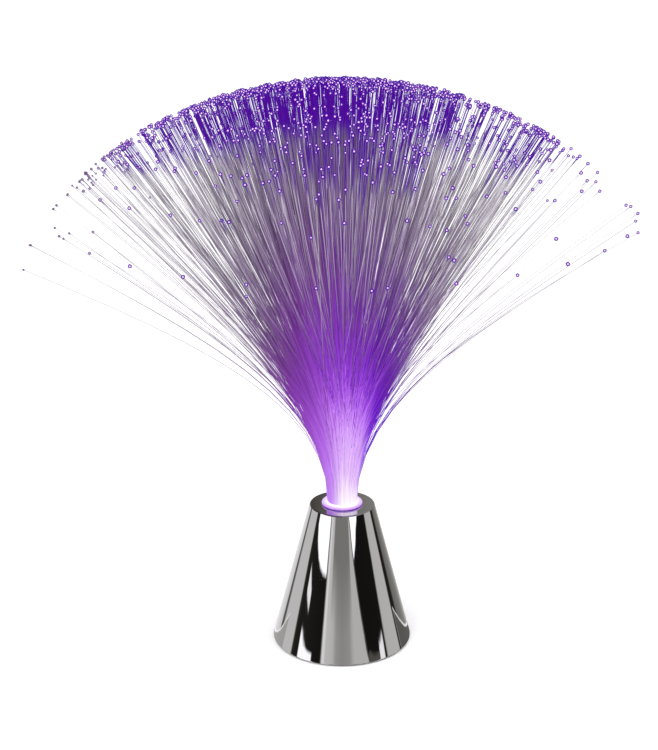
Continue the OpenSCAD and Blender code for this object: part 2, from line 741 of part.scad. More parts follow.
cone_shell();
base_plate();
foot_ring();
base_screws();
battery_door();
door_screws();
cell(-1, 1);  // cell_left
cell(0, -1);  // cell_middle
cell(1, 1);  // cell_right
contact(1, lane - contact_w / 2, lane + contact_w / 2, [lane], true);  // contact_positive
contact(-1, -lane - contact_w / 2, -lane + contact_w / 2, [], true);  // contact_negative
contact(-1, -contact_w / 2, lane + contact_w / 2, [0]);  // contact_link_left
contact(1, -lane - contact_w / 2, contact_w / 2, [-lane]);  // contact_link_right
contact_springs();
switch_body();
switch_slider();
switch_screws();
circuit_board();
board_screws();
colour_led();
light_shroud();
controller_chip();
board_resistors();
board_capacitor();
lead_positive();
lead_switched();
lead_negative();
spray_collar();
bundle_ferrule();
fibre_tuft(0);  // fibre_tuft_1
fibre_tuft(1);  // fibre_tuft_2
fibre_tuft(2);  // fibre_tuft_3
fibre_tuft(3);  // fibre_tuft_4
fibre_tuft(4);  // fibre_tuft_5
fibre_tuft(5);  // fibre_tuft_6
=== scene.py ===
"""Studio scene of a battery fibre lamp: a lit spray of fibres over a chrome-plated cone.

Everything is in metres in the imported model's own frame, and MM turns sizes in millimetres
to metres. Each finish is a small class that makes one material. Each sub-assembly is a
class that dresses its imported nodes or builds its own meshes.
"""

import logging
import math
import random
from collections.abc import Sequence
from dataclasses import dataclass, field
from enum import Enum

import bmesh
import bpy
import numpy as np
from mathutils import Matrix, Vector


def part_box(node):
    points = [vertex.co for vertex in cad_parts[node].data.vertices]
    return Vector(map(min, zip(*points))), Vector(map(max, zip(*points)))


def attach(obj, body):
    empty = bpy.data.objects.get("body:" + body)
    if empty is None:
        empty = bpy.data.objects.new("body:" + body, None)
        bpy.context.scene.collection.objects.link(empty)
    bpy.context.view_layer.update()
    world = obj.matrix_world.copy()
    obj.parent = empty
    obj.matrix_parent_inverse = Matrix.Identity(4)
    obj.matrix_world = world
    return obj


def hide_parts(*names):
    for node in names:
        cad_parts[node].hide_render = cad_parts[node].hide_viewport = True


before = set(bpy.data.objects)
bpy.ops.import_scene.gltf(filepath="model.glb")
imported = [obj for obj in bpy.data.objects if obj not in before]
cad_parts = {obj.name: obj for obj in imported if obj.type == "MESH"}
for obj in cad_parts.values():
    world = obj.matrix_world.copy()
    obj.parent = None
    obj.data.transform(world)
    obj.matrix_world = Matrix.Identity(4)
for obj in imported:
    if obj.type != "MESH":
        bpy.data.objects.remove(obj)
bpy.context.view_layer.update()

LOG = logging.getLogger("fibre_lamp")
MM = 0.001
SEED = 20
FULL_TURN = 2 * math.pi
# A Mix node that blends colours: its type, and the number of its colour output.
RGBA = {"data_type": "RGBA", "out": 2}
# The values between which a noise mostly lies.
SPREAD = (0.3, 0.7)
Colour = tuple[float, float, float, float]
Ramp = tuple[tuple[float, str], ...]
Socket = bpy.types.NodeSocket


def linear(code: str) -> Colour:
    """Turns an sRGB hex code into linear light.

    Args:
        code: Six hex digits, such as "8040C0".

    Returns:
        Red, green, blue and an alpha of one.
    """
    parts = (int(code[i : i + 2], 16) / 255 for i in (0, 2, 4))
    red, green, blue = (
        p / 12.92 if p <= 0.04045 else ((p + 0.055) / 1.055) ** 2.4 for p in parts
    )
    return red, green, blue, 1.0


def per_metre(size_mm: float) -> float:
    """Pattern scale for Object coordinates that gives features of this size."""
    return 1 / (size_mm * MM)


class Graph:
    """The node tree of a material or of the world, filled node by node."""

    def __init__(self, tree: bpy.types.NodeTree) -> None:
        """Takes the tree that gets the nodes."""
        self.tree = tree

    def add(
        self,
        kind: str,
        *values: object,
        named: dict | None = None,
        stops: Sequence[tuple[float, str]] = (),
        out: int | str = 0,
        **settings: object,
    ) -> Socket:
        """Adds a node, sets it up and feeds its inputs.

        Args:
            kind: Blender's type name of the node, without its "ShaderNode".
            *values: What feeds its first inputs; see feed.
            named: What feeds further inputs, by their names or numbers.
            stops: Places and sRGB codes, for a node with a colour ramp.
            out: Name or number of the output that is wanted.
            **settings: Properties of the node itself.

        Returns:
            That output.
        """
        node = self.tree.nodes.new("ShaderNode" + kind)
        for name, value in settings.items():
            setattr(node, name, value)
        for key, value in [*enumerate(values), *(named or {}).items()]:
            self.feed(node.inputs[key], value)
        if stops:
            elements = node.color_ramp.elements
            while len(elements) < len(stops):
                elements.new(1.0)
            for element, (place, code) in zip(elements, stops):
                element.position = place
                element.color = linear(code)
        return node.outputs[out]

    def feed(self, socket: Socket, value: object) -> None:
        """Links an output to an input, or sets the input's own value.

        Args:
            socket: The input.
            value: An output, a number, a vector, or the sRGB code of a colour.
        """
        if isinstance(value, Socket):
            self.tree.links.new(value, socket)
        else:
            socket.default_value = linear(value) if isinstance(value, str) else value


# ------------------------------------------------------------------ finishes


class Surface(Graph):
    """A new material's tree, with its shader and its Object coordinates at hand."""

    def __init__(self, name: str) -> None:
        """Starts a material.

        Args:
            name: Its name: what it is and how its surface was made.
        """
        self.material = bpy.data.materials.new(name)
        self.material.use_nodes = True
        super().__init__(self.material.node_tree)
        self.shader = self.tree.nodes["Principled BSDF"]
        self.place = self.add("TexCoord", out="Object")

    def set(self, **values: object) -> None:
        """Feeds sockets of the shader, with underscores for the spaces in their names."""
        for name, value in values.items():
            self.feed(self.shader.inputs[name.replace("_", " ")], value)

    def grain(
        self, size_mm: float, detail: float = 2.0, stretch: Sequence[float] = (1, 1, 1)
    ) -> Socket:
        """An uneven pattern from 0 to 1 with features of a real size.

        Args:
            size_mm: Size of a feature.
            detail: Steps of finer features in it.
            stretch: Share of the scale along each axis; a small share draws lines.

        Returns:
            The pattern, which mostly lies within SPREAD.
        """
        place = self.add("Mapping", named={"Vector": self.place, "Scale": tuple(stretch)})
        scale = per_metre(size_mm)
        return self.add("TexNoise", named={"Vector": place, "Scale": scale, "Detail": detail})

    def drift(self, pattern: Socket, low: object, high: object) -> Socket:
        """A colour that drifts between two others as an uneven pattern does."""
        share = self.add("MapRange", pattern, *SPREAD)
        return self.add("Mix", share, named={6: low, 7: high}, **RGBA)

    def radius(self) -> Socket:
        """Distance from the lamp's axis."""
        level = self.add("VectorMath", self.place, (1, 1, 0), operation="MULTIPLY")
        return self.add("VectorMath", level, operation="LENGTH", out="Value")


@dataclass(frozen=True)
class ChromePlate:
    """Chromium over nickel on moulded ABS: a dark, cool mirror with a faint orange peel.

    Attributes:
        base_r: Radius of the cone's rim.
        top_r: Radius of its top.
        low_z: Height of the rim.
        top_z: Height of the top.
        skin: Depth below the surface at which the cone's inside begins.
        code: Colour of the polished plating.
        thin: Colour of the thin plating inside.
        peel_mm: Size of the waves in the polish.
        smear_mm: Size of patches that differ a little in gloss.
    """

    base_r: float
    top_r: float
    low_z: float
    top_z: float
    skin: float = 1.2 * MM
    code: str = "C9C9CC"
    thin: str = "8E8F90"
    peel_mm: float = 7.0
    smear_mm: float = 14.0

    def material(self) -> bpy.types.Material:
        """Makes the material; the inside of the cone, thinly plated, is dull.

        Returns:
            The material.
        """
        s = Surface("Chrome plated ABS, moulded and polished")
        height = s.add("SeparateXYZ", s.place, out="Z")
        inner_r = s.add(
            "MapRange", height, self.low_z, self.top_z, self.base_r - self.skin, self.top_r - self.skin
        )
        inside = s.add("Math", s.radius(), inner_r, operation="LESS_THAN")
        below_top = s.add("Math", height, self.top_z - self.skin / 4, operation="LESS_THAN")
        dull = s.add("Math", inside, below_top, operation="MULTIPLY")
        polished = s.add("MapRange", s.grain(self.smear_mm, 3), *SPREAD, 0.008, 0.02)
        s.set(
            Base_Color=s.add("Mix", dull, named={6: self.code, 7: self.thin}, **RGBA),
            Metallic=1.0,
            Roughness=s.add("Math", dull, 0.33, polished, operation="MULTIPLY_ADD"),
            Normal=s.add("Bump", 0.35, 0.004 * MM, named={"Height": s.grain(self.peel_mm, 1)}),
        )
        return s.material


@dataclass(frozen=True)
class MouldedPlastic:
    """Injection-moulded plastic: matt or satin, with a fine even grain from its mould.

    Attributes:
        name: Name of the material.
        code: Its colour.
        worn: Colour of its paler patches.
        rough: Roughness.
        grain_mm: Size of the mould's grain, coarser than the real 0.1 mm so that it shows.
        depth_mm: Depth of that grain.
        cloud_mm: Size of the paler patches.
    """

    name: str
    code: str
    worn: str
    rough: float = 0.5
    grain_mm: float = 0.45
    depth_mm: float = 0.03
    cloud_mm: float = 9.0

    def material(self) -> bpy.types.Material:
        """Makes the material, with a slight cloudiness in colour and gloss.

        Returns:
            The material.
        """
        s = Surface(self.name)
        cloud = s.grain(self.cloud_mm, 3)
        s.set(
            Base_Color=s.drift(cloud, self.code, self.worn),
            Roughness=s.add("MapRange", cloud, *SPREAD, self.rough - 0.06, self.rough + 0.08),
            IOR=1.53,
            Normal=s.add("Bump", 0.8, self.depth_mm * MM, named={"Height": s.grain(self.grain_mm)}),
        )
        return s.material


@dataclass(frozen=True)
class FootRubber:
    """Thermoplastic rubber, moulded: matt, a little dusty, without a clear highlight.

    Attributes:
        code: Colour of the rubber.
        dust: Colour of the dust.
        dust_mm: Size of a patch of dust.
        grain_mm: Size of the mould's grain, coarser than the real 0.1 mm so that it shows.
    """

    code: str = "1B1B1D"
    dust: str = "37373A"
    dust_mm: float = 2.2
    grain_mm: float = 0.35

    def material(self) -> bpy.types.Material:
        """Makes the material, with dust in patches over the rubber.

        Returns:
            The material.
        """
        s = Surface("Thermoplastic rubber, moulded")
        dusty = s.add("MapRange", s.grain(self.dust_mm, 4), *SPREAD, 0.0, 0.6)
        s.set(
            Base_Color=s.add("Mix", dusty, named={6: self.code, 7: self.dust}, **RGBA),
            Roughness=0.82, IOR=1.5, Specular_IOR_Level=0.35,
            Normal=s.add("Bump", 0.7, 0.03 * MM, named={"Height": s.grain(self.grain_mm)}),
        )
        return s.material


@dataclass(frozen=True)
class PlainMetal:
    """Sheet, wire or screw metal: bright, with rolling or turning lines along one axis.

    Attributes:
        name: Name of the material.
        code: Its colour.
        tint: Colour towards which it drifts.
        rough: Roughness.
        line_mm: Distance between the lines, coarser than real ones so that they show.
        stretch: Share of the scale along each axis, small along the lines.
        depth_mm: Depth of the lines.
        tint_mm: Size of the tinted patches.
    """

    name: str
    code: str
    tint: str
    rough: float
    line_mm: float = 0.25
    stretch: tuple[float, float, float] = (1, 1, 0.08)
    depth_mm: float = 0.01
    tint_mm: float = 3.5

    def material(self) -> bpy.types.Material:
        """Makes the material: lines in the gloss, and a slow drift in tint.

        Returns:
            The material.
        """
        s = Surface(self.name)
        lines = s.grain(self.line_mm, 3, self.stretch)
        s.set(
            Base_Color=s.drift(s.grain(self.tint_mm), self.code, self.tint),
            Metallic=1.0,
            Roughness=s.add("MapRange", lines, *SPREAD, self.rough - 0.07, self.rough + 0.1),
            Normal=s.add("Bump", 0.6, self.depth_mm * MM, named={"Height": lines}),
        )
        return s.material


@dataclass(frozen=True)
class CellSleeve:
    """Shrunk printed film over a steel can: satin, with bare bright steel at both ends.

    Attributes:
        low_x: Place of the cell's one end.
        high_x: Place of the other end.
        nub_high: Whether the nub is at high_x.
        sleeve: Colour of the film.
        band: Colour of its band at the nub's end.
        nub: Height of the nub.
        end: Width of the bare steel at an end.
        band_l: Length of the band.
        steel: Colours between which the bare steel drifts.
        film_metal: Metallic share of the film, since steel shines through it.
        scuff_mm: Size of the scuffs.
    """

    low_x: float
    high_x: float
    nub_high: bool
    sleeve: str = "23272F"
    band: str = "A9B0B8"
    nub: float = 0.9 * MM
    end: float = 0.9 * MM
    band_l: float = 11.0 * MM
    steel: tuple[str, str] = ("C3C4C6", "9FA1A4")
    film_metal: float = 0.45
    scuff_mm: float = 1.4

    def material(self) -> bpy.types.Material:
        """Makes the material: sleeve, pale band at the nub's end, and steel ends.

        Returns:
            The material.
        """
        s = Surface("Printed film on steel, shrunk")
        x = s.add("SeparateXYZ", s.place, out="X")
        low = self.low_x + (0 if self.nub_high else self.nub) + self.end
        high = self.high_x - (self.nub if self.nub_high else 0) - self.end
        past_low = s.add("Math", x, low, operation="GREATER_THAN")
        before_high = s.add("Math", x, high, operation="LESS_THAN")
        sleeve = s.add("Math", past_low, before_high, operation="MULTIPLY")
        edge = high - self.band_l if self.nub_high else low + self.band_l
        banded = s.add("Math", x, edge, operation="GREATER_THAN" if self.nub_high else "LESS_THAN")
        film = s.add("Mix", banded, named={6: self.sleeve, 7: self.band}, **RGBA)
        scuff = s.grain(self.scuff_mm, 4)
        steel = s.drift(scuff, *self.steel)
        s.set(
            Base_Color=s.add("Mix", sleeve, named={6: steel, 7: film}, **RGBA),
            Metallic=s.add("Math", sleeve, self.film_metal - 1, 1.0, operation="MULTIPLY_ADD"),
            Roughness=s.add("MapRange", scuff, *SPREAD, 0.24, 0.38),
            Normal=s.add("Bump", 0.5, 0.008 * MM, named={"Height": scuff}),
        )
        return s.material


@dataclass(frozen=True)
class SolderMask:
    """Glass-epoxy board under green mask: glossy, with raised tracks and a tan cut edge.

    Attributes:
        edge_r: Radius of the board's edge.
        mask: Colour of the mask on bare board.
        track: Colour of the mask over copper.
        cut: Colour of the sawn edge.
        track_mm: Distance between tracks.
        flow_mm: Size of patches that differ a little in gloss.
    """

    edge_r: float
    mask: str = "0C4A24"
    track: str = "17703A"
    cut: str = "B5A56E"
    track_mm: float = 2.6
    flow_mm: float = 1.2

    def material(self) -> bpy.types.Material:
        """Makes the material: tracks run in straight stepped lines under the mask.

        Returns:
            The material.
        """
        s = Surface("Glass epoxy laminate, solder masked")
        tracks = s.add(
            "TexBrick", s.place, out="Fac", offset=0.37,
            named={"Scale": per_metre(2 * self.track_mm), "Mortar Size": 0.07, "Brick Width": 1.7,
                   "Row Height": 0.6},
        )
        face = s.add("Mix", tracks, named={6: self.mask, 7: self.track}, **RGBA)
        rim = s.add("Math", s.radius(), self.edge_r - 0.02 * MM, operation="GREATER_THAN")
        s.set(
            Base_Color=s.add("Mix", rim, named={6: face, 7: self.cut}, **RGBA),
            Roughness=s.add("MapRange", s.grain(self.flow_mm), *SPREAD, 0.22, 0.34),
            IOR=1.55,
            Normal=s.add("Bump", 0.7, 0.035 * MM, named={"Height": tracks}),
        )
        return s.material


@dataclass(frozen=True)
class LitResin:
    """Clear cast or moulded polymer lit from within: a glassy skin over an even glow.

    Attributes:
        name: Name of the material.
        code: Colour that it reflects.
        glow: Glow at its top.
        deep: Glow at its low end.
        low_z: Height of the low end.
        top_z: Height of the top.
        rim: Glow of the top's edge.
        core_r: Radius inside which the glow is even.
        rim_r: Radius of the edge.
        power: Strength of the glow.
        cloud_mm: Size of paler patches in it.
        wave_mm: Size of the waves in the skin.
    """

    name: str
    code: str
    glow: str
    deep: str
    low_z: float
    top_z: float
    rim: str
    core_r: float
    rim_r: float
    power: float = 1.0
    cloud_mm: float = 2.5
    wave_mm: float = 1.8

    def material(self) -> bpy.types.Material:
        """Makes the material: the glow changes with height, and outwards on the top.

        Returns:
            The material.
        """
        s = Surface(self.name)
        climb = s.add("MapRange", s.add("SeparateXYZ", s.place, out="Z"), self.low_z, self.top_z)
        outward = s.add("MapRange", s.radius(), self.core_r, self.rim_r)
        top = s.add("Mix", outward, named={6: self.glow, 7: self.rim}, **RGBA)
        even = s.add("Mix", climb, named={6: self.deep, 7: top}, **RGBA)
        cloud = s.add("MapRange", s.grain(self.cloud_mm, 3), *SPREAD, 0.0, 0.12)
        s.set(
            Base_Color=self.code, Roughness=0.12, IOR=1.49, Coat_Weight=0.6,
            Emission_Color=s.add("Mix", cloud, named={6: even, 7: "FFFFFF"}, **RGBA),
            Emission_Strength=self.power,
            Normal=s.add("Bump", 0.4, 0.006 * MM, named={"Height": s.grain(self.wave_mm)}),
        )
        return s.material


class Axis(Enum):
    """Axes of the lamp's frame, as the outputs that give a place along them."""

    X = "X"
    Y = "Y"
    Z = "Z"


@dataclass(frozen=True)
class TwoZone:
    """A small moulded component whose leads, caps or ends are another, metallic finish.

    Attributes:
        name: Name of the material.
        body: Colour of the body.
        body_dark: Colour of its specks.
        metal: Colour of the metal.
        axis: Axis along which the metal follows the body.
        centre: Place on it, mostly the body's middle, from which reach is measured.
        reach: Distance from there to the metal.
        rough: Roughness.
        speck_mm: Size of a speck, coarser than real ones so that it shows.
    """

    name: str
    body: str
    body_dark: str
    metal: str
    axis: Axis
    centre: float
    reach: float
    rough: float = 0.45
    speck_mm: float = 0.3

    def material(self) -> bpy.types.Material:
        """Makes the material, speckled on body and metal alike.

        Returns:
            The material.
        """
        s = Surface(self.name)
        along = s.add("SeparateXYZ", s.place, out=self.axis.value)
        away = s.add("Math", along, self.centre, operation="SUBTRACT")
        away = s.add("Math", away, operation="ABSOLUTE")
        ends = s.add("Math", away, self.reach, operation="GREATER_THAN")
        speck = s.grain(self.speck_mm, 3)
        body = s.drift(speck, self.body, self.body_dark)
        s.set(
            Base_Color=s.add("Mix", ends, named={6: body, 7: self.metal}, **RGBA),
            Metallic=ends,
            Roughness=s.add("MapRange", speck, *SPREAD, self.rough - 0.1, self.rough + 0.1),
            Normal=s.add("Bump", 0.5, 0.01 * MM, named={"Height": speck}),
        )
        return s.material


@dataclass(frozen=True)
class LeadInsulation:
    """Extruded PVC over stranded wire: soft gloss, with faint lines of the strands' lay.

    Attributes:
        name: Name of the lead's colour.
        code: That colour.
        shade: Share of the colour's light in the darker lines.
        lay_mm: Distance between the lines.
    """

    name: str
    code: str
    shade: float = 0.72
    lay_mm: float = 0.9

    def material(self) -> bpy.types.Material:
        """Makes the material, named for its colour too.

        Returns:
            The material.
        """
        s = Surface(f"PVC insulation, extruded, {self.name}")
        dark = tuple(self.shade * part for part in linear(self.code)[:3]) + (1.0,)
        lay = s.grain(self.lay_mm, 2, (1, 1, 0.4))
        s.set(
            Base_Color=s.drift(lay, self.code, dark),
            Roughness=s.add("MapRange", lay, *SPREAD, 0.3, 0.42), IOR=1.53,
            Normal=s.add("Bump", 0.4, 0.02 * MM, named={"Height": lay}),
        )
        return s.material


@dataclass(frozen=True)
class FibreAcrylic:
    """Drawn acrylic fibre lit from its root: white-hot low down, violet above that, smoky
    and clear further out with light and dark streaks, and violet again where it ends.

    Attributes:
        length: Length of a fibre.
        skin: Colour of the fibre itself along its length.
        light: Light that leaks from it along its length, in the middle of the view.
        left: The same at the left, where it turns to plum.
        right: The same at the right, where it turns to blue.
        pace: How fast it runs through these colours in the middle, and what the flanks add; the slower run
            in the middle of the view is painted shade and painted glow of the crowded middle.
        plum: How the plum spreads over the bundle on its way out, and how wide it blends in.
        blue: How the blue spreads on its way out, and where across the bundle it blends in.
        streak: Least and most light of a fibre against its neighbours.
        even: How soon the streaks begin; below that the light is even.
        tone: Least and most of a fibre's own colour.
        near_tip: Length over which a lone fibre's end is violet, and what a crowd adds: painted glow that
            the neighbouring lit ends throw down the fibre.
        fade: Share of that length over which the violet comes in.
        end: Colour of the fibre itself near its tip.
        end_light: Light that leaks there.
        gloss: Share of the gloss; low, since neighbours hide most of the room from a fibre.
    """

    length: float = 245 * MM
    skin: Ramp = (
        (0.0, "2A1440"), (0.25, "2E1648"), (0.33, "4A2C60"), (0.40, "745A84"), (0.48, "9480A0"),
        (0.58, "B2A4BA"), (0.75, "CCC4D0"), (1.0, "DAD6DC"),
    )
    light: Ramp = (
        (0.0, "FFF8FF"), (0.03, "F4E0FD"), (0.06, "E4BEFA"), (0.14, "D5A0F7"), (0.165, "CC8CF4"),
        (0.19, "BC70F0"), (0.22, "A956E7"), (0.247, "8A34D2"), (0.30, "7C28BC"), (0.33, "7426A2"),
        (0.38, "5C1E76"), (0.47, "3A144E"), (0.55, "22102C"), (1.0, "120A18"),
    )
    left: Ramp = (
        (0.0, "C88CF4"), (0.08, "BE7CEC"), (0.15, "AC60DC"), (0.23, "9044BC"), (0.30, "7A34A0"),
        (0.37, "602678"), (0.47, "3A164A"), (0.60, "1E0E26"), (1.0, "120A18"),
    )
    right: Ramp = (
        (0.0, "3A06C0"), (0.12, "5610D0"), (0.22, "6614C4"), (0.32, "5E149C"), (0.42, "4A1470"),
        (0.55, "2A0E38"), (0.70, "160B1C"), (1.0, "120A18"),
    )
    pace: tuple[float, float] = (0.62, 0.6)
    plum: tuple[float, float] = (0.6, 0.7)
    blue: tuple[float, float, float] = (1.6, 0.95, 1.2)
    streak: tuple[float, float] = (0.72, 1.2)
    even: float = 5.0
    tone: tuple[float, float] = (0.28, 1.0)
    near_tip: tuple[float, float] = (1.5 * MM, 34 * MM)
    fade: float = 0.45
    end: str = "1C003A"
    end_light: str = "46028E"
    gloss: float = 0.15

    def material(self) -> bpy.types.Material:
        """Makes the material from the strands' own attributes.

        climb is the distance from the root and to_tip that to the tip, strand is a number of
        the fibre's own, glow says how close its tip stands to others and so how far the painted
        glow of neighbouring ends reaches down it, and side is its place across the bundle, -1 at
        the left to 1 at the right.

        Returns:
            The material.
        """
        s = Surface("Acrylic fibre, drawn")
        climb, to_tip, strand, glow, side = (
            s.add("Attribute", out="Fac", attribute_name=name)
            for name in ("climb", "to_tip", "strand", "glow", "side")
        )
        share = s.add("Math", climb, self.length, operation="DIVIDE")
        # Painted shade and glow: fibres in the middle of the view keep the darker skin and deeper violet
        # further out than those on the flanks, as the crowded middle looks.
        flank = s.add("Math", side, side, operation="MULTIPLY")
        pace = s.add("Math", flank, self.pace[1], self.pace[0], operation="MULTIPLY_ADD")
        along = s.add("Math", share, pace, operation="MULTIPLY")
        skin, light, left, right = (
            s.add("ValToRGB", along, stops=stops)
            for stops in (self.skin, self.light, self.left, self.right)
        )
        to_left = s.add("Math", share, self.plum[0], operation="MULTIPLY")
        to_left = s.add("Math", to_left, side, operation="SUBTRACT")
        to_left = s.add("MapRange", to_left, 0.0, self.plum[1])
        to_right = s.add("Math", share, self.blue[0], side, operation="MULTIPLY_ADD")
        to_right = s.add("MapRange", to_right, *self.blue[1:])
        light = s.add("Mix", to_left, named={6: light, 7: left}, **RGBA)
        light = s.add("Mix", to_right, named={6: light, 7: right}, **RGBA)
        streak = s.add("MapRange", strand, 0.0, 1.0, *self.streak)
        even = s.add("Math", share, -self.even, 1.0, operation="MULTIPLY_ADD")
        streak = s.add("Math", streak, even, operation="MAXIMUM")
        light = s.add("Mix", 1.0, named={6: light, 7: streak}, blend_type="MULTIPLY", **RGBA)
        tone = s.add("MapRange", strand, 0.0, 1.0, *self.tone)
        skin = s.add("Mix", 1.0, named={6: skin, 7: tone}, blend_type="MULTIPLY", **RGBA)
        # Painted glow: in a crowd of lit tips, the violet near the end reaches further down, for the light
        # of the neighbouring ends.
        reach = s.add("Math", glow, self.near_tip[1], self.near_tip[0], operation="MULTIPLY_ADD")
        near = s.add("Math", to_tip, reach, operation="DIVIDE")
        near = s.add("Math", 1.0, near, operation="SUBTRACT")
        near = s.add("MapRange", near, 0.0, self.fade, interpolation_type="SMOOTHSTEP")
        s.set(
            Base_Color=s.add("Mix", near, named={6: skin, 7: self.end}, **RGBA),
            Emission_Color=s.add("Mix", near, named={6: light, 7: self.end_light}, **RGBA),
            Emission_Strength=1.0, Roughness=0.28, IOR=1.49, Specular_IOR_Level=self.gloss,
        )
        return s.material


@dataclass(frozen=True)
class FibreEnd:
    """The rounded, polished end of a lit fibre: a pink-white point in a half-clear violet lens, which is
    painted glow, a halo far wider than the fibre round its bright end.

    Attributes:
        point: Light of the point.
        power: Its strength.
        lens: Light of the lens round it: painted glow, a halo round the bright point.
        cover: How much of the point the lens hides.
        dark: Colour of a lit end itself.
        dull: Colour of an end that has little light.
        dull_light: Light of such an end.
    """

    point: str = "FFCCE4"
    power: float = 6.0
    lens: str = "40029A"
    cover: float = 0.82
    dark: str = "16002C"
    dull: str = "6B5A70"
    dull_light: str = "201826"

    def material(self) -> bpy.types.Material:
        """Makes the material: core is 1 on the point, and lit how brightly the fibre shines.

        Returns:
            The material.
        """
        s = Surface("Acrylic fibre end, polished")
        core, lit = (s.add("Attribute", out="Fac", attribute_name=name) for name in ("core", "lit"))
        shining = s.add("Mix", core, named={6: self.lens, 7: self.point}, **RGBA)
        s.set(
            Base_Color=s.add("Mix", lit, named={6: self.dull, 7: self.dark}, **RGBA),
            Emission_Color=s.add("Mix", lit, named={6: self.dull_light, 7: shining}, **RGBA),
            Emission_Strength=s.add("Math", core, self.power - 1, 1.0, operation="MULTIPLY_ADD"),
            Alpha=s.add("Math", core, 1 - self.cover, self.cover, operation="MULTIPLY_ADD"),
            Roughness=0.2, IOR=1.49, Specular_IOR_Level=0.2,
        )
        return s.material


@dataclass(frozen=True)
class PottedBundle:
    """Fibres potted in clear epoxy and ground flat: round bright ends close together.

    Attributes:
        pitch_mm: Distance between ends, coarser than the fibres' own so that they show.
        end_r: Radius of an end, as a share of that distance.
        glow: Colour and light of the ends.
        resin: Colour and light of the epoxy.
    """

    pitch_mm: float = 0.9
    end_r: float = 0.42
    glow: str = "F4E4FE"
    resin: str = "DDBCF8"

    def material(self) -> bpy.types.Material:
        """Makes the material, with a round end in each cell of a pattern.

        Returns:
            The material.
        """
        s = Surface("Epoxy potting with fibres, ground")
        scale = per_metre(self.pitch_mm)
        cells = s.add("TexVoronoi", named={"Vector": s.place, "Scale": scale}, out="Distance")
        ends = s.add("Math", cells, self.end_r, operation="LESS_THAN")
        face = s.add("Mix", ends, named={6: self.resin, 7: self.glow}, **RGBA)
        s.set(
            Base_Color=face, Emission_Color=face, Emission_Strength=0.95, Roughness=0.25, IOR=1.5,
            Normal=s.add("Bump", 0.5, 0.02 * MM, named={"Height": cells}),
        )
        return s.material


# ------------------------------------------------------------------ sub-assemblies


def dress(node: str, material: bpy.types.Material) -> None:
    """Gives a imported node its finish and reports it.

    Args:
        node: Name of the node.
        material: Its finish.
    """
    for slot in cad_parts[node].material_slots:
        slot.material = material
    LOG.info("dressed %s with %s", node, material.name)


def middle_y(node: str) -> float:
    """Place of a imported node's middle in y."""
    low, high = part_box(node)
    return (low.y + high.y) / 2


@dataclass
class ConeUnit:
    """The plated cone with its flat top.

    Attributes:
        top_r: Radius of the top.
    """

    top_r: float = 19 * MM

    def build(self) -> None:
        """Dresses the cone."""
        low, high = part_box("cone_shell")
        dress("cone_shell", ChromePlate(high.x, self.top_r, low.z, high.z).material())


@dataclass
class UndersideUnit:
    """Base plate, foot ring, battery door, and all screws.

    Attributes:
        plate: Finish of the base plate.
        door: Finish of the battery door.
        screw: Finish of all screws.
    """

    plate: MouldedPlastic = MouldedPlastic("Black ABS, moulded, spark textured", "131315", "1C1C1F")
    door: MouldedPlastic = MouldedPlastic(
        "Black ABS, moulded, satin", "17171A", "202024", rough=0.42, grain_mm=0.3, depth_mm=0.02
    )
    screw: PlainMetal = PlainMetal(
        "Steel, cold headed and zinc plated", "B4B7BB", "A39E8E", rough=0.3, line_mm=0.2,
        stretch=(1, 1, 0.3),
    )

    def build(self) -> None:
        """Dresses every part of the underside."""
        dress("base_plate", self.plate.material())
        dress("battery_door", self.door.material())
        dress("foot_ring", FootRubber().material())
        zinc = self.screw.material()
        for node in ("base_screws", "door_screws", "switch_screws", "board_screws"):
            dress(node, zinc)


@dataclass
class BatteryUnit:
    """The three cells and their contacts.

    Attributes:
        cells: Each cell's node, and whether its nub points to +X.
        strip: Finish of the sheet contacts.
        wire: Finish of the springs.
    """

    cells: tuple[tuple[str, bool], ...] = (
        ("cell_left", True), ("cell_middle", False), ("cell_right", True),
    )
    strip: PlainMetal = PlainMetal(
        "Steel strip, nickel plated and rolled", "CFCBBE", "B8B2A0", rough=0.24, line_mm=0.2,
        stretch=(1, 0.1, 1),
    )
    wire: PlainMetal = PlainMetal(
        "Spring wire, drawn and nickel plated", "D2D0C8", "B5B2A8", rough=0.2, line_mm=0.15
    )

    def build(self) -> None:
        """Dresses cells, sheet contacts and springs."""
        for node, nub_high in self.cells:
            low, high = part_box(node)
            dress(node, CellSleeve(low.x, high.x, nub_high).material())
        sheet = self.strip.material()
        for node in ("contact_positive", "contact_negative", "contact_link_left", "contact_link_right"):
            dress(node, sheet)
        dress("contact_springs", self.wire.material())


@dataclass
class SwitchUnit:
    """The slide switch behind its slot in the base plate.

    Attributes:
        case: Finish of the housing.
        button: Finish of the slider.
    """

    case: PlainMetal = PlainMetal(
        "Steel sheet, pressed and zinc plated", "B9BCC0", "9D9A90", rough=0.34, line_mm=0.4,
        stretch=(0.1, 1, 1),
    )
    button: MouldedPlastic = MouldedPlastic(
        "Grey acetal, moulded", "C9C9C6", "B9B9B5", rough=0.38, grain_mm=0.35, depth_mm=0.015
    )

    def build(self) -> None:
        """Dresses housing and slider."""
        dress("switch_body", self.case.material())
        dress("switch_slider", self.button.material())


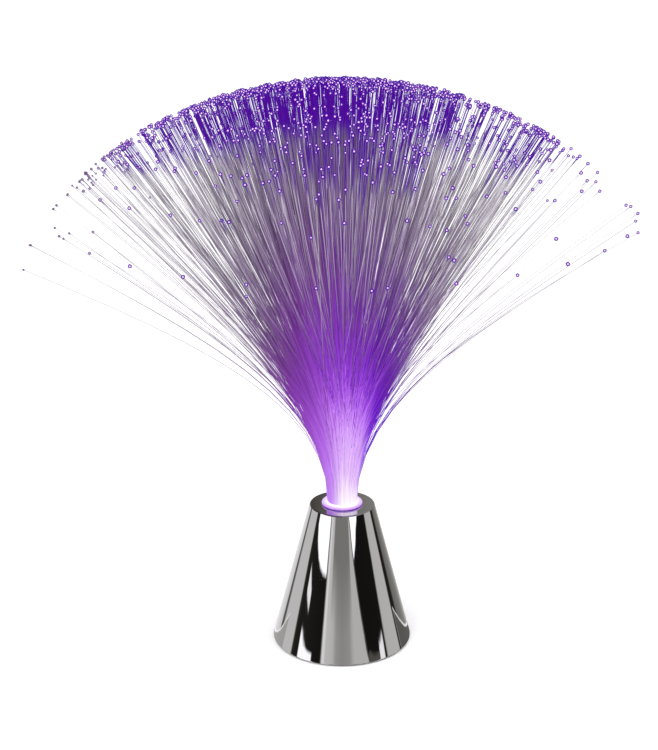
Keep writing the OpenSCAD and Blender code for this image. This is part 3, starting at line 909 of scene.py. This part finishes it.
@dataclass
class LightUnit:
    """The board with the colour light, its white tube, and the parts soldered to it.

    Attributes:
        tube: Finish of the white tube.
        flange_l: Height of the light's own flange, above which it glows.
        chip_reach: Half the width of the chip's body, where its legs begin.
        resistor_reach: Half the distance between a resistor's caps.
        can_l: Length of the capacitor's sleeve, from the board down to its bare end.
        leads: Each lead's node, its name and its colour.
    """

    tube: MouldedPlastic = MouldedPlastic(
        "White ABS, moulded and polished", "EFEFEC", "E4E4E0", rough=0.25, grain_mm=0.8, depth_mm=0.006
    )
    flange_l: float = 3 * MM
    chip_reach: float = 2 * MM
    resistor_reach: float = 1.15 * MM
    can_l: float = 6.55 * MM
    leads: tuple[tuple[str, str, str], ...] = (
        ("lead_positive", "red", "A81414"),
        ("lead_switched", "orange", "C8641A"),
        ("lead_negative", "black", "1A1A1C"),
    )

    def build(self) -> None:
        """Dresses everything on the board, and the three leads."""
        dress("circuit_board", SolderMask(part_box("circuit_board")[1].x).material())
        low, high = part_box("colour_led")
        dress("colour_led", LitResin(
            "Clear epoxy, cast, lit", "8E7CA8", glow="FBF0FF", deep="9A5CE8",
            low_z=low.z + self.flange_l, top_z=high.z, rim="E8CCFF", core_r=1 * MM, rim_r=4 * MM, power=2.0,
        ).material())
        dress("light_shroud", self.tube.material())
        dress("controller_chip", TwoZone(
            "Epoxy compound, transfer moulded", "17171A", "222226", "C9C9C6",
            Axis.Y, middle_y("controller_chip"), self.chip_reach,
        ).material())
        dress("board_resistors", TwoZone(
            "Ceramic with tinned caps, fired", "1E1C1C", "2C2828", "D0CFCB",
            Axis.Y, middle_y("board_resistors"), self.resistor_reach, rough=0.4,
        ).material())
        dress("board_capacitor", TwoZone(
            "Shrunk sleeve on aluminium can", "161B3C", "20264E", "C5C7CA",
            Axis.Z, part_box("board_capacitor")[1].z, self.can_l, rough=0.35,
        ).material())
        for node, name, code in self.leads:
            dress(node, LeadInsulation(name, code).material())


@dataclass
class CollarUnit:
    """The clear flanged collar, and the metal ferrule round the bundle's lower end.

    Attributes:
        tube: Finish of the ferrule.
        flange: Heights below the top where the flange's glow begins and where it is full.
        core_r: Radius inside which the flange is white-hot.
        edge: Width of the flange's edge, which has the rim's own glow.
    """

    tube: PlainMetal = PlainMetal(
        "Aluminium tube, drawn", "C4C6C9", "B0B3B7", rough=0.28, line_mm=0.3, stretch=(1, 1, 0.06)
    )
    flange: tuple[float, float] = (1.3 * MM, 0.5 * MM)
    core_r: float = 9.6 * MM
    edge: float = 0.3 * MM

    def build(self) -> None:
        """Dresses collar and ferrule."""
        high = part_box("spray_collar")[1]
        dress("spray_collar", LitResin(
            "Clear polycarbonate, moulded, lit", "2A1444", glow="FFF8FF", deep="5A0CB4",
            low_z=high.z - self.flange[0], top_z=high.z - self.flange[1],
            rim="DFA8F8", core_r=self.core_r, rim_r=high.x - self.edge,
        ).material())
        dress("bundle_ferrule", self.tube.material())


@dataclass(frozen=True)
class Strand:
    """One fibre: the four points that shape it, and what sets its look.

    Attributes:
        root: Where it leaves the potting.
        rise: Point towards which it rises.
        drawn: Point from which it runs out to its tip.
        tip: Its end.
        tone: Own brightness, 0 to 1.
        side: Its place across the bundle, -1 left to 1 right.
        lit: Share of light at its tip.
    """

    root: Vector
    rise: Vector
    drawn: Vector
    tip: Vector
    tone: float
    side: float
    lit: float


@dataclass(frozen=True)
class Fan:
    """How the fibres fan out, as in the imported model; leans from the vertical in degrees.

    Attributes:
        inner: Lean at which the dense inner part ends.
        dome: Lean of the outer tips.
        stray: Lean of the widest stray.
        sag: Extra lean at the tip of a stray.
        powers: How late the inner lean and the outer rest of it set in.
        back: How far the innermost tips lean to the back.
        left: How far the innermost tips lean to the left.
        drawn_in: Share of its lean that every second fibre of the outer ring keeps.
        stray_side: Least cosine of a stray's turn, so that it hangs out at a side.
        stray_end: Turn past which there are none, so that the front has none.
    """

    inner: float = 24.0
    dome: float = 42.0
    stray: float = 49.0
    sag: float = 14.0
    powers: tuple[float, float] = (1.15, 6)
    back: float = 10.0
    left: float = 3.0
    drawn_in: float = 0.86
    stray_side: float = 0.5
    stray_end: float = math.radians(200)

    def strays(self, turn: float) -> bool:
        """Whether a fibre with this turn may hang out at the side of the spray."""
        return abs(math.cos(turn)) > self.stray_side and turn % FULL_TURN < self.stray_end

    def lean(self, share: float) -> float:
        """Lean of a tip from the share of the bundle's radius at which its fibre is rooted."""
        early, late = self.powers
        return self.inner * share**early + (self.dome - self.inner) * share**late

    def shifted(self, lean: float, turn: float) -> tuple[float, float]:
        """Moves a tip as the whole spray leans, the more the further in it is.

        Args:
            lean: Lean of the tip.
            turn: Its turn.

        Returns:
            Its lean in x and in y.
        """
        shift = max(0.0, 1 - (lean / self.dome) ** 2)
        return (
            lean * math.cos(turn) - self.left * shift,
            lean * math.sin(turn) + self.back * shift,
        )


@dataclass(frozen=True)
class Scatter:
    """How unevenly the fibres between the guides grow; turns and leans in degrees.

    Attributes:
        root: Most that a root lies off its grid point, as a share of the pitch.
        clear: Least distance of a root from a guide, as a share of the pitch.
        turn: Spread of the turns.
        lean: Spread of the leans.
        stray_from: Share of the bundle's radius past which a fibre may be a stray.
        stray_share: Share of those fibres that are.
        stray_power: How evenly the strays' leans lie between the dome's and the widest.
        loose_share: Share of the fibres that lie over the front of the dome.
        loose_x: Middle and spread of a loose tip's lean in x.
        loose_y: The same towards the front.
        front: Lean in y below which fibres are moved, the share moved, and their factor.
        right: Lean in x above which fibres are moved, the share moved, and their factor.
        clump: Share of the way that a tip moves to the guide nearest to it.
        short: Spread of the shortening of a fibre, as a share of its reach.
        cut_share: Share of fibres that are cut short.
        cut: Most that these are short, as a share of their reach.
        long: Share of its reach by which the longest fibre passes the dome.
        sway: How far the path sways in its lower and its upper part.
        dim_from: Lean in x at which the tips at the left have no light.
        dim_to: Range of that lean over which their light comes in.
        dim: Least share of light.
        end_size: Size of the smallest end against the middle one.
        dim_size: Size of an end without light against a lit one.
    """

    root: float = 0.08
    clear: float = 0.6
    turn: float = 5.0
    lean: float = 1.1
    stray_from: float = 0.9
    stray_share: float = 0.06
    stray_power: float = 0.8
    loose_share: float = 0.11
    loose_x: tuple[float, float] = (1.0, 9.0)
    loose_y: tuple[float, float] = (12.0, 8.0)
    front: tuple[float, float, float] = (-3.0, 0.65, -0.7)
    right: tuple[float, float, float] = (30.0, 0.85, 0.82)
    clump: float = 0.2
    short: float = 0.005
    cut_share: float = 0.04
    cut: float = 0.1
    long: float = 0.004
    sway: tuple[float, float] = (0.8 * MM, 2.2 * MM)
    dim_from: float = -38.0
    dim_to: float = 9.0
    dim: float = 0.1
    end_size: float = 0.85
    dim_size: float = 0.7


@dataclass
class FibreSpray:
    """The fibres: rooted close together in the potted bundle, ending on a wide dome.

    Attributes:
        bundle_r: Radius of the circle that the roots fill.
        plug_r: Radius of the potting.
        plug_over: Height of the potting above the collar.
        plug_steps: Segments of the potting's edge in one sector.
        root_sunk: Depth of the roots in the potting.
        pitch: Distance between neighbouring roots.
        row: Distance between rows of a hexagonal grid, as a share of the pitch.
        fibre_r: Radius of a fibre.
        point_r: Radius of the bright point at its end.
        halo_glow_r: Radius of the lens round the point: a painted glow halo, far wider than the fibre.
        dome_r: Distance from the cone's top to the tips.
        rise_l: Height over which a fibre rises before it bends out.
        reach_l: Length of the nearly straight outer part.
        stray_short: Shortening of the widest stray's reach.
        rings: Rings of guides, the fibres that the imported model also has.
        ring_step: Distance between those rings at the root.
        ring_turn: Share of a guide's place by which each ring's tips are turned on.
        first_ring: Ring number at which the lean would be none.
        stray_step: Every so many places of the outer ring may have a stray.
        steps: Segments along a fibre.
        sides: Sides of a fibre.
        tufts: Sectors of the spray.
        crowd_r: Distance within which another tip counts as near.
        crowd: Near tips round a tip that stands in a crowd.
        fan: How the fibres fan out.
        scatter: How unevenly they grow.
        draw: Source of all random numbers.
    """

    bundle_r: float = 8.45 * MM
    plug_r: float = 8.8 * MM
    plug_over: float = 0.5 * MM
    plug_steps: int = 14
    root_sunk: float = 1 * MM
    pitch: float = 0.345 * MM
    row: float = 0.866
    fibre_r: float = 0.165 * MM
    point_r: float = 0.48 * MM
    halo_glow_r: float = 1.12 * MM
    dome_r: float = 244.5 * MM
    rise_l: float = 62 * MM
    reach_l: float = 106 * MM
    stray_short: float = 12 * MM
    rings: int = 10
    ring_step: float = 0.825 * MM
    ring_turn: float = 0.618
    first_ring: float = 0.2
    stray_step: int = 5
    steps: int = 12
    sides: int = 4
    tufts: int = 6
    crowd_r: float = 11 * MM
    crowd: float = 9.0
    fan: Fan = Fan()
    scatter: Scatter = Scatter()
    draw: random.Random = field(default_factory=lambda: random.Random(SEED))

    def __post_init__(self) -> None:
        """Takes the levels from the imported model, and starts without tips."""
        self.sector = FULL_TURN / self.tufts
        self.top_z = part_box("cone_shell")[1].z
        self.plug_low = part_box("fibre_tuft_1")[0].z
        self.plug_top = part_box("spray_collar")[1].z + self.plug_over
        self.root_z = self.plug_top - self.root_sunk
        self.tips = np.zeros((0, 3))

    def guides(self) -> list[tuple[float, float, float, float]]:
        """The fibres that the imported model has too, on rings round the bundle's centre.

        Returns:
            Radius and turn of each root, and the lean of its tip in x and y, in degrees.
        """
        found = []
        for tuft in range(self.tufts):
            for ring in range(1, self.rings + 1):
                for place in range(ring):
                    turn = ((place + 0.5) / ring + tuft) * self.sector
                    fan = turn + self.sector / ring * ((ring * self.ring_turn) % 1 - 0.5)
                    lean = self.fan.lean((ring - self.first_ring) / (self.rings - self.first_ring))
                    if ring == self.rings and place % 2:
                        lean *= self.fan.drawn_in
                    if ring == self.rings and place % self.stray_step == 2 and self.fan.strays(fan):
                        lean = self.fan.stray
                    found.append((self.ring_step * ring, turn, *self.fan.shifted(lean, fan)))
        return found

    def roots(self, guides: np.ndarray) -> list[tuple[float, float]]:
        """Places of the other roots, on a hexagonal grid between the guides.

        Args:
            guides: Places of the guides' roots.

        Returns:
            Radius and turn of each root.
        """
        found = []
        off = self.scatter.root
        rows = int(self.bundle_r / (self.pitch * self.row)) + 1
        for row in range(-rows, rows + 1):
            for column in range(-rows - 2, rows + 3):
                x = (column + 0.5 * (row % 2) + self.draw.uniform(-off, off)) * self.pitch
                y = (row * self.row + self.draw.uniform(-off, off)) * self.pitch
                gap = np.hypot(guides[:, 0] - x, guides[:, 1] - y).min()
                radius = math.hypot(x, y)
                if radius < self.bundle_r and gap > self.scatter.clear * self.pitch:
                    found.append((radius, math.atan2(y, x)))
        return found

    def lean_of(self, radius: float, turn: float, centres: np.ndarray) -> tuple[float, float]:
        """Where a fibre's tip leans.

        Args:
            radius: Radius of its root.
            turn: Turn of its root.
            centres: Leans of the guides, in x and y.

        Returns:
            Lean in x and in y, in degrees.
        """
        odd, fan, draw = self.scatter, self.fan, self.draw
        share = radius / self.bundle_r
        turn += math.radians(draw.gauss(0, odd.turn))
        lean = fan.lean(share) + draw.gauss(0, odd.lean)
        chance = draw.random()
        if share > odd.stray_from and fan.strays(turn) and chance < odd.stray_share:
            lean = fan.dome + (fan.stray - fan.dome) * draw.random() ** odd.stray_power
            return lean * math.cos(turn), lean * math.sin(turn)
        x, y = fan.shifted(lean, turn)
        if chance > 1 - odd.loose_share:
            forward, spread = odd.loose_y
            return draw.gauss(*odd.loose_x), -forward - abs(draw.gauss(0, spread))
        limit, moved, factor = odd.front
        if y < limit and chance < moved:
            y *= factor
        limit, moved, factor = odd.right
        if x > limit and chance < moved:
            x *= factor
        nearest = centres[np.argmin(np.hypot(centres[:, 0] - x, centres[:, 1] - y))]
        x += odd.clump * (nearest[0] - x)
        y += odd.clump * (nearest[1] - y)
        return x, y

    def strand(
        self, radius: float, turn: float, lean_x: float, lean_y: float, loose: float = 0.0
    ) -> Strand:
        """Shapes one fibre from its root.

        Args:
            radius: Radius of its root.
            turn: Turn of its root.
            lean_x: Lean of its tip in x, in degrees.
            lean_y: Lean of its tip in y.
            loose: How freely it may wander from its even path; a guide keeps to it.

        Returns:
            The fibre.
        """
        odd, draw = self.scatter, self.draw
        share = radius / self.bundle_r
        lean = math.hypot(lean_x, lean_y)
        out = Vector((lean_x, lean_y, 0)) / max(lean, 1e-6)
        sag = (lean / self.fan.stray) ** 2
        short = abs(draw.gauss(0, odd.short))
        if draw.random() < odd.cut_share:
            short += odd.cut * draw.random()
        reach = (self.dome_r - self.stray_short * sag**2) * (1 + (odd.long - short) * loose)
        angle, aim = math.radians(lean), math.radians(lean + self.fan.sag * sag)
        root = Vector((radius * math.cos(turn), radius * math.sin(turn), self.root_z))
        tip = out * reach * math.sin(angle) + Vector((0, 0, self.top_z + reach * math.cos(angle)))
        sway = Vector((draw.gauss(0, 1), draw.gauss(0, 1), 0)) * loose
        rise = root + Vector((0, 0, self.rise_l)) + sway * odd.sway[0] * share
        inward = out * math.sin(aim) + Vector((0, 0, math.cos(aim)))
        drawn = tip - self.reach_l * inward + sway * odd.sway[1]
        lit = min(1.0, max(odd.dim, (lean_x - odd.dim_from) / odd.dim_to))
        return Strand(root, rise, drawn, tip, draw.random(), math.cos(turn) * share, lit)

    def shoot(self, name: str, strands: Sequence[Strand]) -> bpy.types.Mesh:
        """Draws fibres as round curves and turns them into one mesh with their attributes.

        Args:
            name: Name of the mesh.
            strands: The fibres, each one open curve.

        Returns:
            The mesh, ring after ring along each fibre.
        """
        curve = bpy.data.curves.new(name, "CURVE")
        curve.dimensions = "3D"
        curve.resolution_u = self.steps
        curve.bevel_depth = self.fibre_r
        curve.bevel_resolution = (self.sides - 4) // 2
        for strand in strands:
            spline = curve.splines.new("BEZIER")
            spline.bezier_points.add(1)
            first, last = spline.bezier_points
            for point in (first, last):
                point.handle_left_type = point.handle_right_type = "FREE"
            first.co, first.handle_left, first.handle_right = strand.root, strand.root, strand.rise
            last.co, last.handle_left, last.handle_right = strand.tip, strand.drawn, strand.tip
        holder = bpy.data.objects.new(name + "_curve", curve)
        bpy.context.scene.collection.objects.link(holder)
        bpy.context.view_layer.update()
        mesh = bpy.data.meshes.new_from_object(
            holder.evaluated_get(bpy.context.evaluated_depsgraph_get())
        )
        bpy.data.objects.remove(holder)
        bpy.data.curves.remove(curve)
        mesh.name = name
        self.mark(mesh, strands)
        return mesh

    def mark(self, mesh: bpy.types.Mesh, strands: Sequence[Strand]) -> None:
        """Writes each point's attributes, from the ring and the fibre that it is on.

        Args:
            mesh: Mesh of the fibres, ring after ring.
            strands: The fibres in the mesh's order.
        """
        rings, sides = self.steps + 1, self.sides
        points = np.zeros(len(mesh.vertices) * 3, np.float32)
        mesh.vertices.foreach_get("co", points)
        centres = points.reshape(len(strands), rings, sides, 3).mean(2)
        runs = np.linalg.norm(np.diff(centres, axis=1), axis=2)
        climb = np.concatenate([np.zeros((len(strands), 1)), np.cumsum(runs, axis=1)], axis=1)
        values = {
            "climb": climb,
            "to_tip": climb[:, -1:] - climb,
            "strand": np.repeat([[s.tone] for s in strands], rings, axis=1),
            "side": np.repeat([[s.side] for s in strands], rings, axis=1),
            "glow": np.repeat(self.crowding(strands)[:, None], rings, axis=1),
        }
        for name, grid in values.items():
            spread = np.repeat(grid.reshape(-1), sides).astype(np.float32)
            mesh.attributes.new(name, "FLOAT", "POINT").data.foreach_set("value", spread)

    def crowding(self, strands: Sequence[Strand]) -> np.ndarray:
        """Works out how close the tips of these fibres stand to all others, for the painted glow that a
        crowd of lit ends throws down each fibre.

        Args:
            strands: The fibres.

        Returns:
            For each a number from 0, alone or without light, to 1, lit in a crowd.
        """
        near = []
        for strand in strands:
            gaps = np.linalg.norm(self.tips - np.array(strand.tip), axis=1)
            near.append(np.count_nonzero(gaps < self.crowd_r) - 1)
        lit = np.array([s.lit for s in strands])
        return np.clip(np.array(near) / self.crowd, 0.0, 1.0) * lit

    def ends(self, name: str, strands: Sequence[Strand]) -> bpy.types.Mesh:
        """Makes the polished ends: on each tip a bright point inside a half-clear lens of painted glow.

        Args:
            name: Name of the mesh.
            strands: The fibres that the ends belong to.

        Returns:
            The mesh.
        """
        odd = self.scatter
        work = bmesh.new()
        core = work.verts.layers.float.new("core")
        lit = work.verts.layers.float.new("lit")
        for strand in strands:
            size = odd.end_size + 2 * (1 - odd.end_size) * strand.tone
            size *= odd.dim_size + (1 - odd.dim_size) * strand.lit
            # The outer ball is the lens: painted glow, a halo round the bright point.
            for is_core, radius in ((1.0, self.point_r), (0.0, self.halo_glow_r)):
                made = bmesh.ops.create_icosphere(
                    work, subdivisions=1, radius=radius * size, matrix=Matrix.Translation(strand.tip)
                )
                for vertex in made["verts"]:
                    vertex[core] = is_core
                    vertex[lit] = strand.lit
        mesh = bpy.data.meshes.new(name)
        work.to_mesh(mesh)
        work.free()
        return mesh

    def potting(self, name: str, index: int) -> bpy.types.Mesh:
        """Makes one sector of the potted bundle.

        Args:
            name: Name of the mesh.
            index: Number of the sector, from 0.

        Returns:
            The closed wedge.
        """
        turn = index * self.sector
        work = bmesh.new()
        centre = work.verts.new((0, 0, self.plug_low))
        rim = work.verts.new(
            (self.plug_r * math.cos(turn), self.plug_r * math.sin(turn), self.plug_low)
        )
        spoke = work.edges.new((centre, rim))
        bmesh.ops.spin(
            work, geom=[centre, rim, spoke], cent=(0, 0, 0), axis=(0, 0, 1), angle=self.sector,
            steps=self.plug_steps,
        )
        bmesh.ops.remove_doubles(work, verts=work.verts, dist=1e-6)
        lifted = bmesh.ops.extrude_face_region(work, geom=work.faces[:])
        raised = [g for g in lifted["geom"] if isinstance(g, bmesh.types.BMVert)]
        bmesh.ops.translate(work, verts=raised, vec=(0, 0, self.plug_top - self.plug_low))
        bmesh.ops.recalc_face_normals(work, faces=work.faces)
        mesh = bpy.data.meshes.new(name)
        work.to_mesh(mesh)
        work.free()
        return mesh

    def build(self) -> None:
        """Builds the six tufts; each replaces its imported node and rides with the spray."""
        guides = self.guides()
        strands = [self.strand(*guide) for guide in guides]
        centres = np.array(guides)[:, 2:]
        for radius, turn in self.roots(np.array([s.root[:2] for s in strands])):
            strands.append(self.strand(radius, turn, *self.lean_of(radius, turn, centres), loose=1.0))
        self.tips = np.array([s.tip for s in strands])
        finishes = [FibreAcrylic().material(), FibreEnd().material(), PottedBundle().material()]
        for index in range(self.tufts):
            own = [
                s for s in strands
                if int((math.atan2(s.root.y, s.root.x) % FULL_TURN) / self.sector) == index
            ]
            name = f"lit_fibres_{index + 1}"
            parts = [
                self.shoot(name, own),
                self.ends(name + "_ends", own),
                self.potting(name + "_potting", index),
            ]
            piece = self.join(name, parts, finishes)
            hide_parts(f"fibre_tuft_{index + 1}")
            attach(piece, "spray")
            LOG.info("built %s: %d fibres, %d faces", name, len(own), len(piece.data.polygons))

    def join(
        self, name: str, parts: Sequence[bpy.types.Mesh], finishes: Sequence[bpy.types.Material]
    ) -> bpy.types.Object:
        """Joins fibres, their ends and the potting into one piece, each with its own finish.

        Args:
            name: Name of the piece.
            parts: Meshes, in the order of their finishes, with the flat-faced potting last.
            finishes: One material for each mesh.

        Returns:
            The piece.
        """
        work = bmesh.new()
        for number, part in enumerate(parts):
            first = len(work.faces)
            work.from_mesh(part)
            work.faces.ensure_lookup_table()
            for face in work.faces[first:]:
                face.material_index = number
                face.smooth = number < len(parts) - 1
        mesh = bpy.data.meshes.new(name)
        work.to_mesh(mesh)
        work.free()
        for finish in finishes:
            mesh.materials.append(finish)
        for part in parts:
            bpy.data.meshes.remove(part)
        piece = bpy.data.objects.new(name, mesh)
        bpy.context.scene.collection.objects.link(piece)
        return piece


# ------------------------------------------------------------------ studio


@dataclass(frozen=True)
class Panel:
    """A flag or soft box that the plating mirrors, seen from the lamp; all in degrees.

    Attributes:
        left: Turn of its left side from the camera's direction.
        right: Turn of its right side.
        code: Its sRGB colour.
        bottom: Heights of its lower edge at the left and the right side.
        top: Heights of its upper edge.
        soft: Half the width of its soft lower and upper edges.
        blur: Half the width of its soft sides.
    """

    left: float
    right: float
    code: str
    bottom: tuple[float, float] = (-90.0, -90.0)
    top: tuple[float, float] = (90.0, 90.0)
    soft: float = 0.1
    blur: float = 0.8

    def mask(self, graph: Graph, turn: Socket, rise: Socket) -> Socket:
        """Works out where it is seen.

        Args:
            graph: Tree of the world.
            turn: Turn of the direction looked in.
            rise: Its height.

        Returns:
            One inside the panel and zero outside, with its soft edges between.
        """
        inside = graph.add("MapRange", turn, self.left - self.blur, self.left + self.blur)
        parts = [graph.add("MapRange", turn, self.right + self.blur, self.right - self.blur)]
        for edge, soft in ((self.bottom, self.soft), (self.top, -self.soft)):
            line = graph.add("MapRange", turn, self.left, self.right, *edge)
            past = graph.add("Math", rise, line, operation="SUBTRACT")
            parts.append(graph.add("MapRange", past, -soft, soft))
        for part in parts:
            inside = graph.add("Math", inside, part, operation="MULTIPLY")
        return inside


@dataclass(frozen=True)
class Studio:
    """Camera, pale floor, soft lights, and the panels that the plating mirrors.

    Attributes:
        camera_at: Place of the camera.
        pitch: How far it looks down, in degrees.
        lens_mm: Focal length on a sensor 36 mm long.
        floor_size: Half the side of the floor.
        open_r: Radius of the floor's opening inside the lamp's foot ring.
        paint: Colours between which the floor's matt paint drifts.
        patch_mm: Size of the patches in that paint.
        uprights: Turns round the lamp and the colours that the panels have there.
        panels: Further panels that end above or below, over those.
        ceiling: Colours above the panels at the left and the right.
        ceiling_edge: Places in x between which the ceiling's colours meet.
        ceiling_rise: Heights between which the ceiling begins, in degrees.
        mirrored: Strength of what the plating mirrors.
        room: Strength of the white room's light.
        lamps: Name, place, side and power of each soft light.
        aim: Point that the lights look at.
    """

    camera_at: tuple[float, float, float] = (-7.65 * MM, -926.6 * MM, 486.2 * MM)
    pitch: float = 19.13
    lens_mm: float = 82.6
    floor_size: float = 6.0
    open_r: float = 36.0 * MM
    paint: tuple[str, str] = ("F4F4F4", "F8F8F8")
    patch_mm: float = 60.0
    uprights: Ramp = (
        (-180, "C1C0BF"), (-150, "C1C0BF"), (-134, "BAB9B7"), (-131, "4A4846"), (-126, "4A4846"),
        (-122, "AEACAA"), (-91, "B0AEAB"), (-89, "26251F"), (-84, "1C1A18"), (-36, "121110"),
        (-34.5, "4A4846"), (-33, "C6C5C3"), (-30, "CCCBC9"), (-28, "B0AEAB"), (-16, "A8A6A3"),
        (-10, "8A8884"), (0, "807E7A"), (13, "888681"), (20, "A8A6A3"), (21, "A8A6A3"), (22, "100F0E"),
        (77, "121110"), (79.5, "A6A4A1"), (106.5, "A8A6A3"), (108.5, "1C1A18"), (119, "1C1A18"),
        (122, "62605C"), (146, "74726E"), (156, "8E8C89"), (166, "A2A09D"), (180, "A8A6A3"),
    )
    panels: tuple[Panel, ...] = (
        Panel(-77.5, -36.5, "FFFFFF", bottom=(-1.2, 2.0)),
        Panel(-78, -67.5, "DAD9D8", bottom=(-3.5, -2.6), top=(-2.6, -1.9)),
        Panel(-76, -51, "F4F3F2", top=(-4.4, -1.9)),
        Panel(20, 50, "FFFFFF", bottom=(3.0, 3.0)),
        Panel(20, 45, "4A4846", top=(5.75, -1.6)),
        Panel(19.5, 45, "A6A4A1", top=(5.35, -2.0)),
        Panel(-22, 19, "6E6C68", bottom=(2.6, 2.6), soft=1.2),
        Panel(45, 67, "464440", top=(-1.2, -3.9)),
        Panel(64.5, 73.5, "DAD9D8", top=(-3.3, -4.3)),
        Panel(112, 180, "DCDBDA", top=(-10.65, -27.85), soft=0.03),
        Panel(112, 180, "52504C", top=(-10.72, -27.92), soft=0.03),
        Panel(-180, -112, "DCDBDA", top=(-27.85, -10.65), soft=0.03),
        Panel(-180, -112, "94928F", top=(-27.92, -10.72), soft=0.03),
    )
    ceiling: tuple[str, str] = ("3A3732", "74726E")
    ceiling_edge: tuple[float, float] = (-0.012, 0.028)
    ceiling_rise: tuple[float, float] = (11.0, 15.0)
    mirrored: float = 1.85
    room: float = 1.2
    lamps: tuple[tuple[str, tuple[float, float, float], float, float], ...] = (
        ("key", (-0.9, -1.0, 1.6), 1.2, 14.0),
        ("fill", (1.3, -0.6, 1.2), 1.4, 7.0),
    )
    aim: tuple[float, float, float] = (0, 0, 0.15)

    def camera(self) -> None:
        """Makes the camera and hands it to the scene."""
        data = bpy.data.cameras.new("camera")
        data.lens = self.lens_mm
        data.sensor_width = 36.0
        data.clip_start, data.clip_end = 0.01, 50.0
        camera = bpy.data.objects.new("camera", data)
        camera.location = self.camera_at
        camera.rotation_euler = (math.radians(90 - self.pitch), 0, 0)
        bpy.context.scene.collection.objects.link(camera)
        bpy.context.scene.camera = camera

    def floor(self) -> None:
        """Lays a wide pale floor; the plating mirrors panels instead.

        It is clear to an eye below it and open inside the foot ring, so that the underside shows.
        """
        work = bmesh.new()
        bmesh.ops.create_grid(work, x_segments=2, y_segments=2, size=self.floor_size)
        mesh = bpy.data.meshes.new("studio_floor")
        work.to_mesh(mesh)
        work.free()
        s = Surface("Studio floor, matt white paint")
        above = s.add("Math", 1.0, s.add("NewGeometry", out="Backfacing"), operation="SUBTRACT")
        outside = s.add("Math", s.radius(), self.open_r, operation="GREATER_THAN")
        s.set(
            Base_Color=s.drift(s.grain(self.patch_mm), *self.paint), Roughness=0.9,
            Specular_IOR_Level=0.1, Alpha=s.add("Math", outside, above, operation="MULTIPLY"),
        )
        mesh.materials.append(s.material)
        floor = bpy.data.objects.new("studio_floor", mesh)
        floor.visible_glossy = False
        bpy.context.scene.collection.objects.link(floor)

    def lights(self) -> None:
        """Hangs the square soft lights, which neither camera nor plating sees."""
        for name, place, size, watts in self.lamps:
            data = bpy.data.lights.new(name, "AREA")
            data.size, data.energy = size, watts
            light = bpy.data.objects.new(name, data)
            light.location = place
            look = Vector(self.aim) - Vector(place)
            light.rotation_euler = look.to_track_quat("-Z", "Y").to_euler()
            light.visible_glossy = False
            light.visible_camera = False
            bpy.context.scene.collection.objects.link(light)

    def surroundings(self) -> None:
        """Makes the world: white for the eye and the floor, panels for the mirror."""
        world = bpy.data.worlds.new("studio")
        bpy.context.scene.world = world
        world.use_nodes = True
        graph = Graph(world.node_tree)
        toward = graph.add("TexCoord", out="Generated")
        x, y, z = graph.add("SeparateXYZ", toward).node.outputs
        back = graph.add("Math", y, -1.0, operation="MULTIPLY")
        turn = graph.add("Math", x, back, operation="ARCTAN2")
        turn = graph.add("Math", turn, operation="DEGREES")
        rise = graph.add("Math", z, operation="ARCSINE")
        rise = graph.add("Math", rise, operation="DEGREES")
        stops = [((place + 180) / 360, code) for place, code in self.uprights]
        seen = graph.add("ValToRGB", graph.add("MapRange", turn, -180.0, 180.0), stops=stops)
        for panel in self.panels:
            inside = panel.mask(graph, turn, rise)
            seen = graph.add("Mix", inside, named={6: seen, 7: panel.code}, **RGBA)
        across = graph.add("MapRange", x, *self.ceiling_edge)
        ceiling = graph.add("Mix", across, named=dict(zip((6, 7), self.ceiling)), **RGBA)
        overhead = graph.add("MapRange", rise, *self.ceiling_rise)
        seen = graph.add("Mix", overhead, named={6: seen, 7: ceiling}, **RGBA)
        mirrored = graph.add("Background", seen, self.mirrored)
        white = graph.add("Background", "FFFFFF", self.room)
        glossy = graph.add("LightPath", out="Is Glossy Ray")
        both = graph.add("MixShader", glossy, white, mirrored)
        graph.feed(graph.tree.nodes["World Output"].inputs["Surface"], both)

    def build(self) -> None:
        """Sets the studio up."""
        self.camera()
        self.floor()
        self.surroundings()
        self.lights()
        view = bpy.context.scene.view_settings
        view.view_transform = "Standard"
        view.look = "None"


def main() -> None:
    """Builds the scene in order: camera and studio, base, battery, light, collar, spray."""
    logging.basicConfig(level=logging.INFO, format="%(name)s: %(message)s")
    Studio().build()
    for unit in (ConeUnit(), UndersideUnit(), BatteryUnit(), SwitchUnit(), LightUnit(), CollarUnit()):
        unit.build()
    FibreSpray().build()


if __name__ == "__main__":
    main()
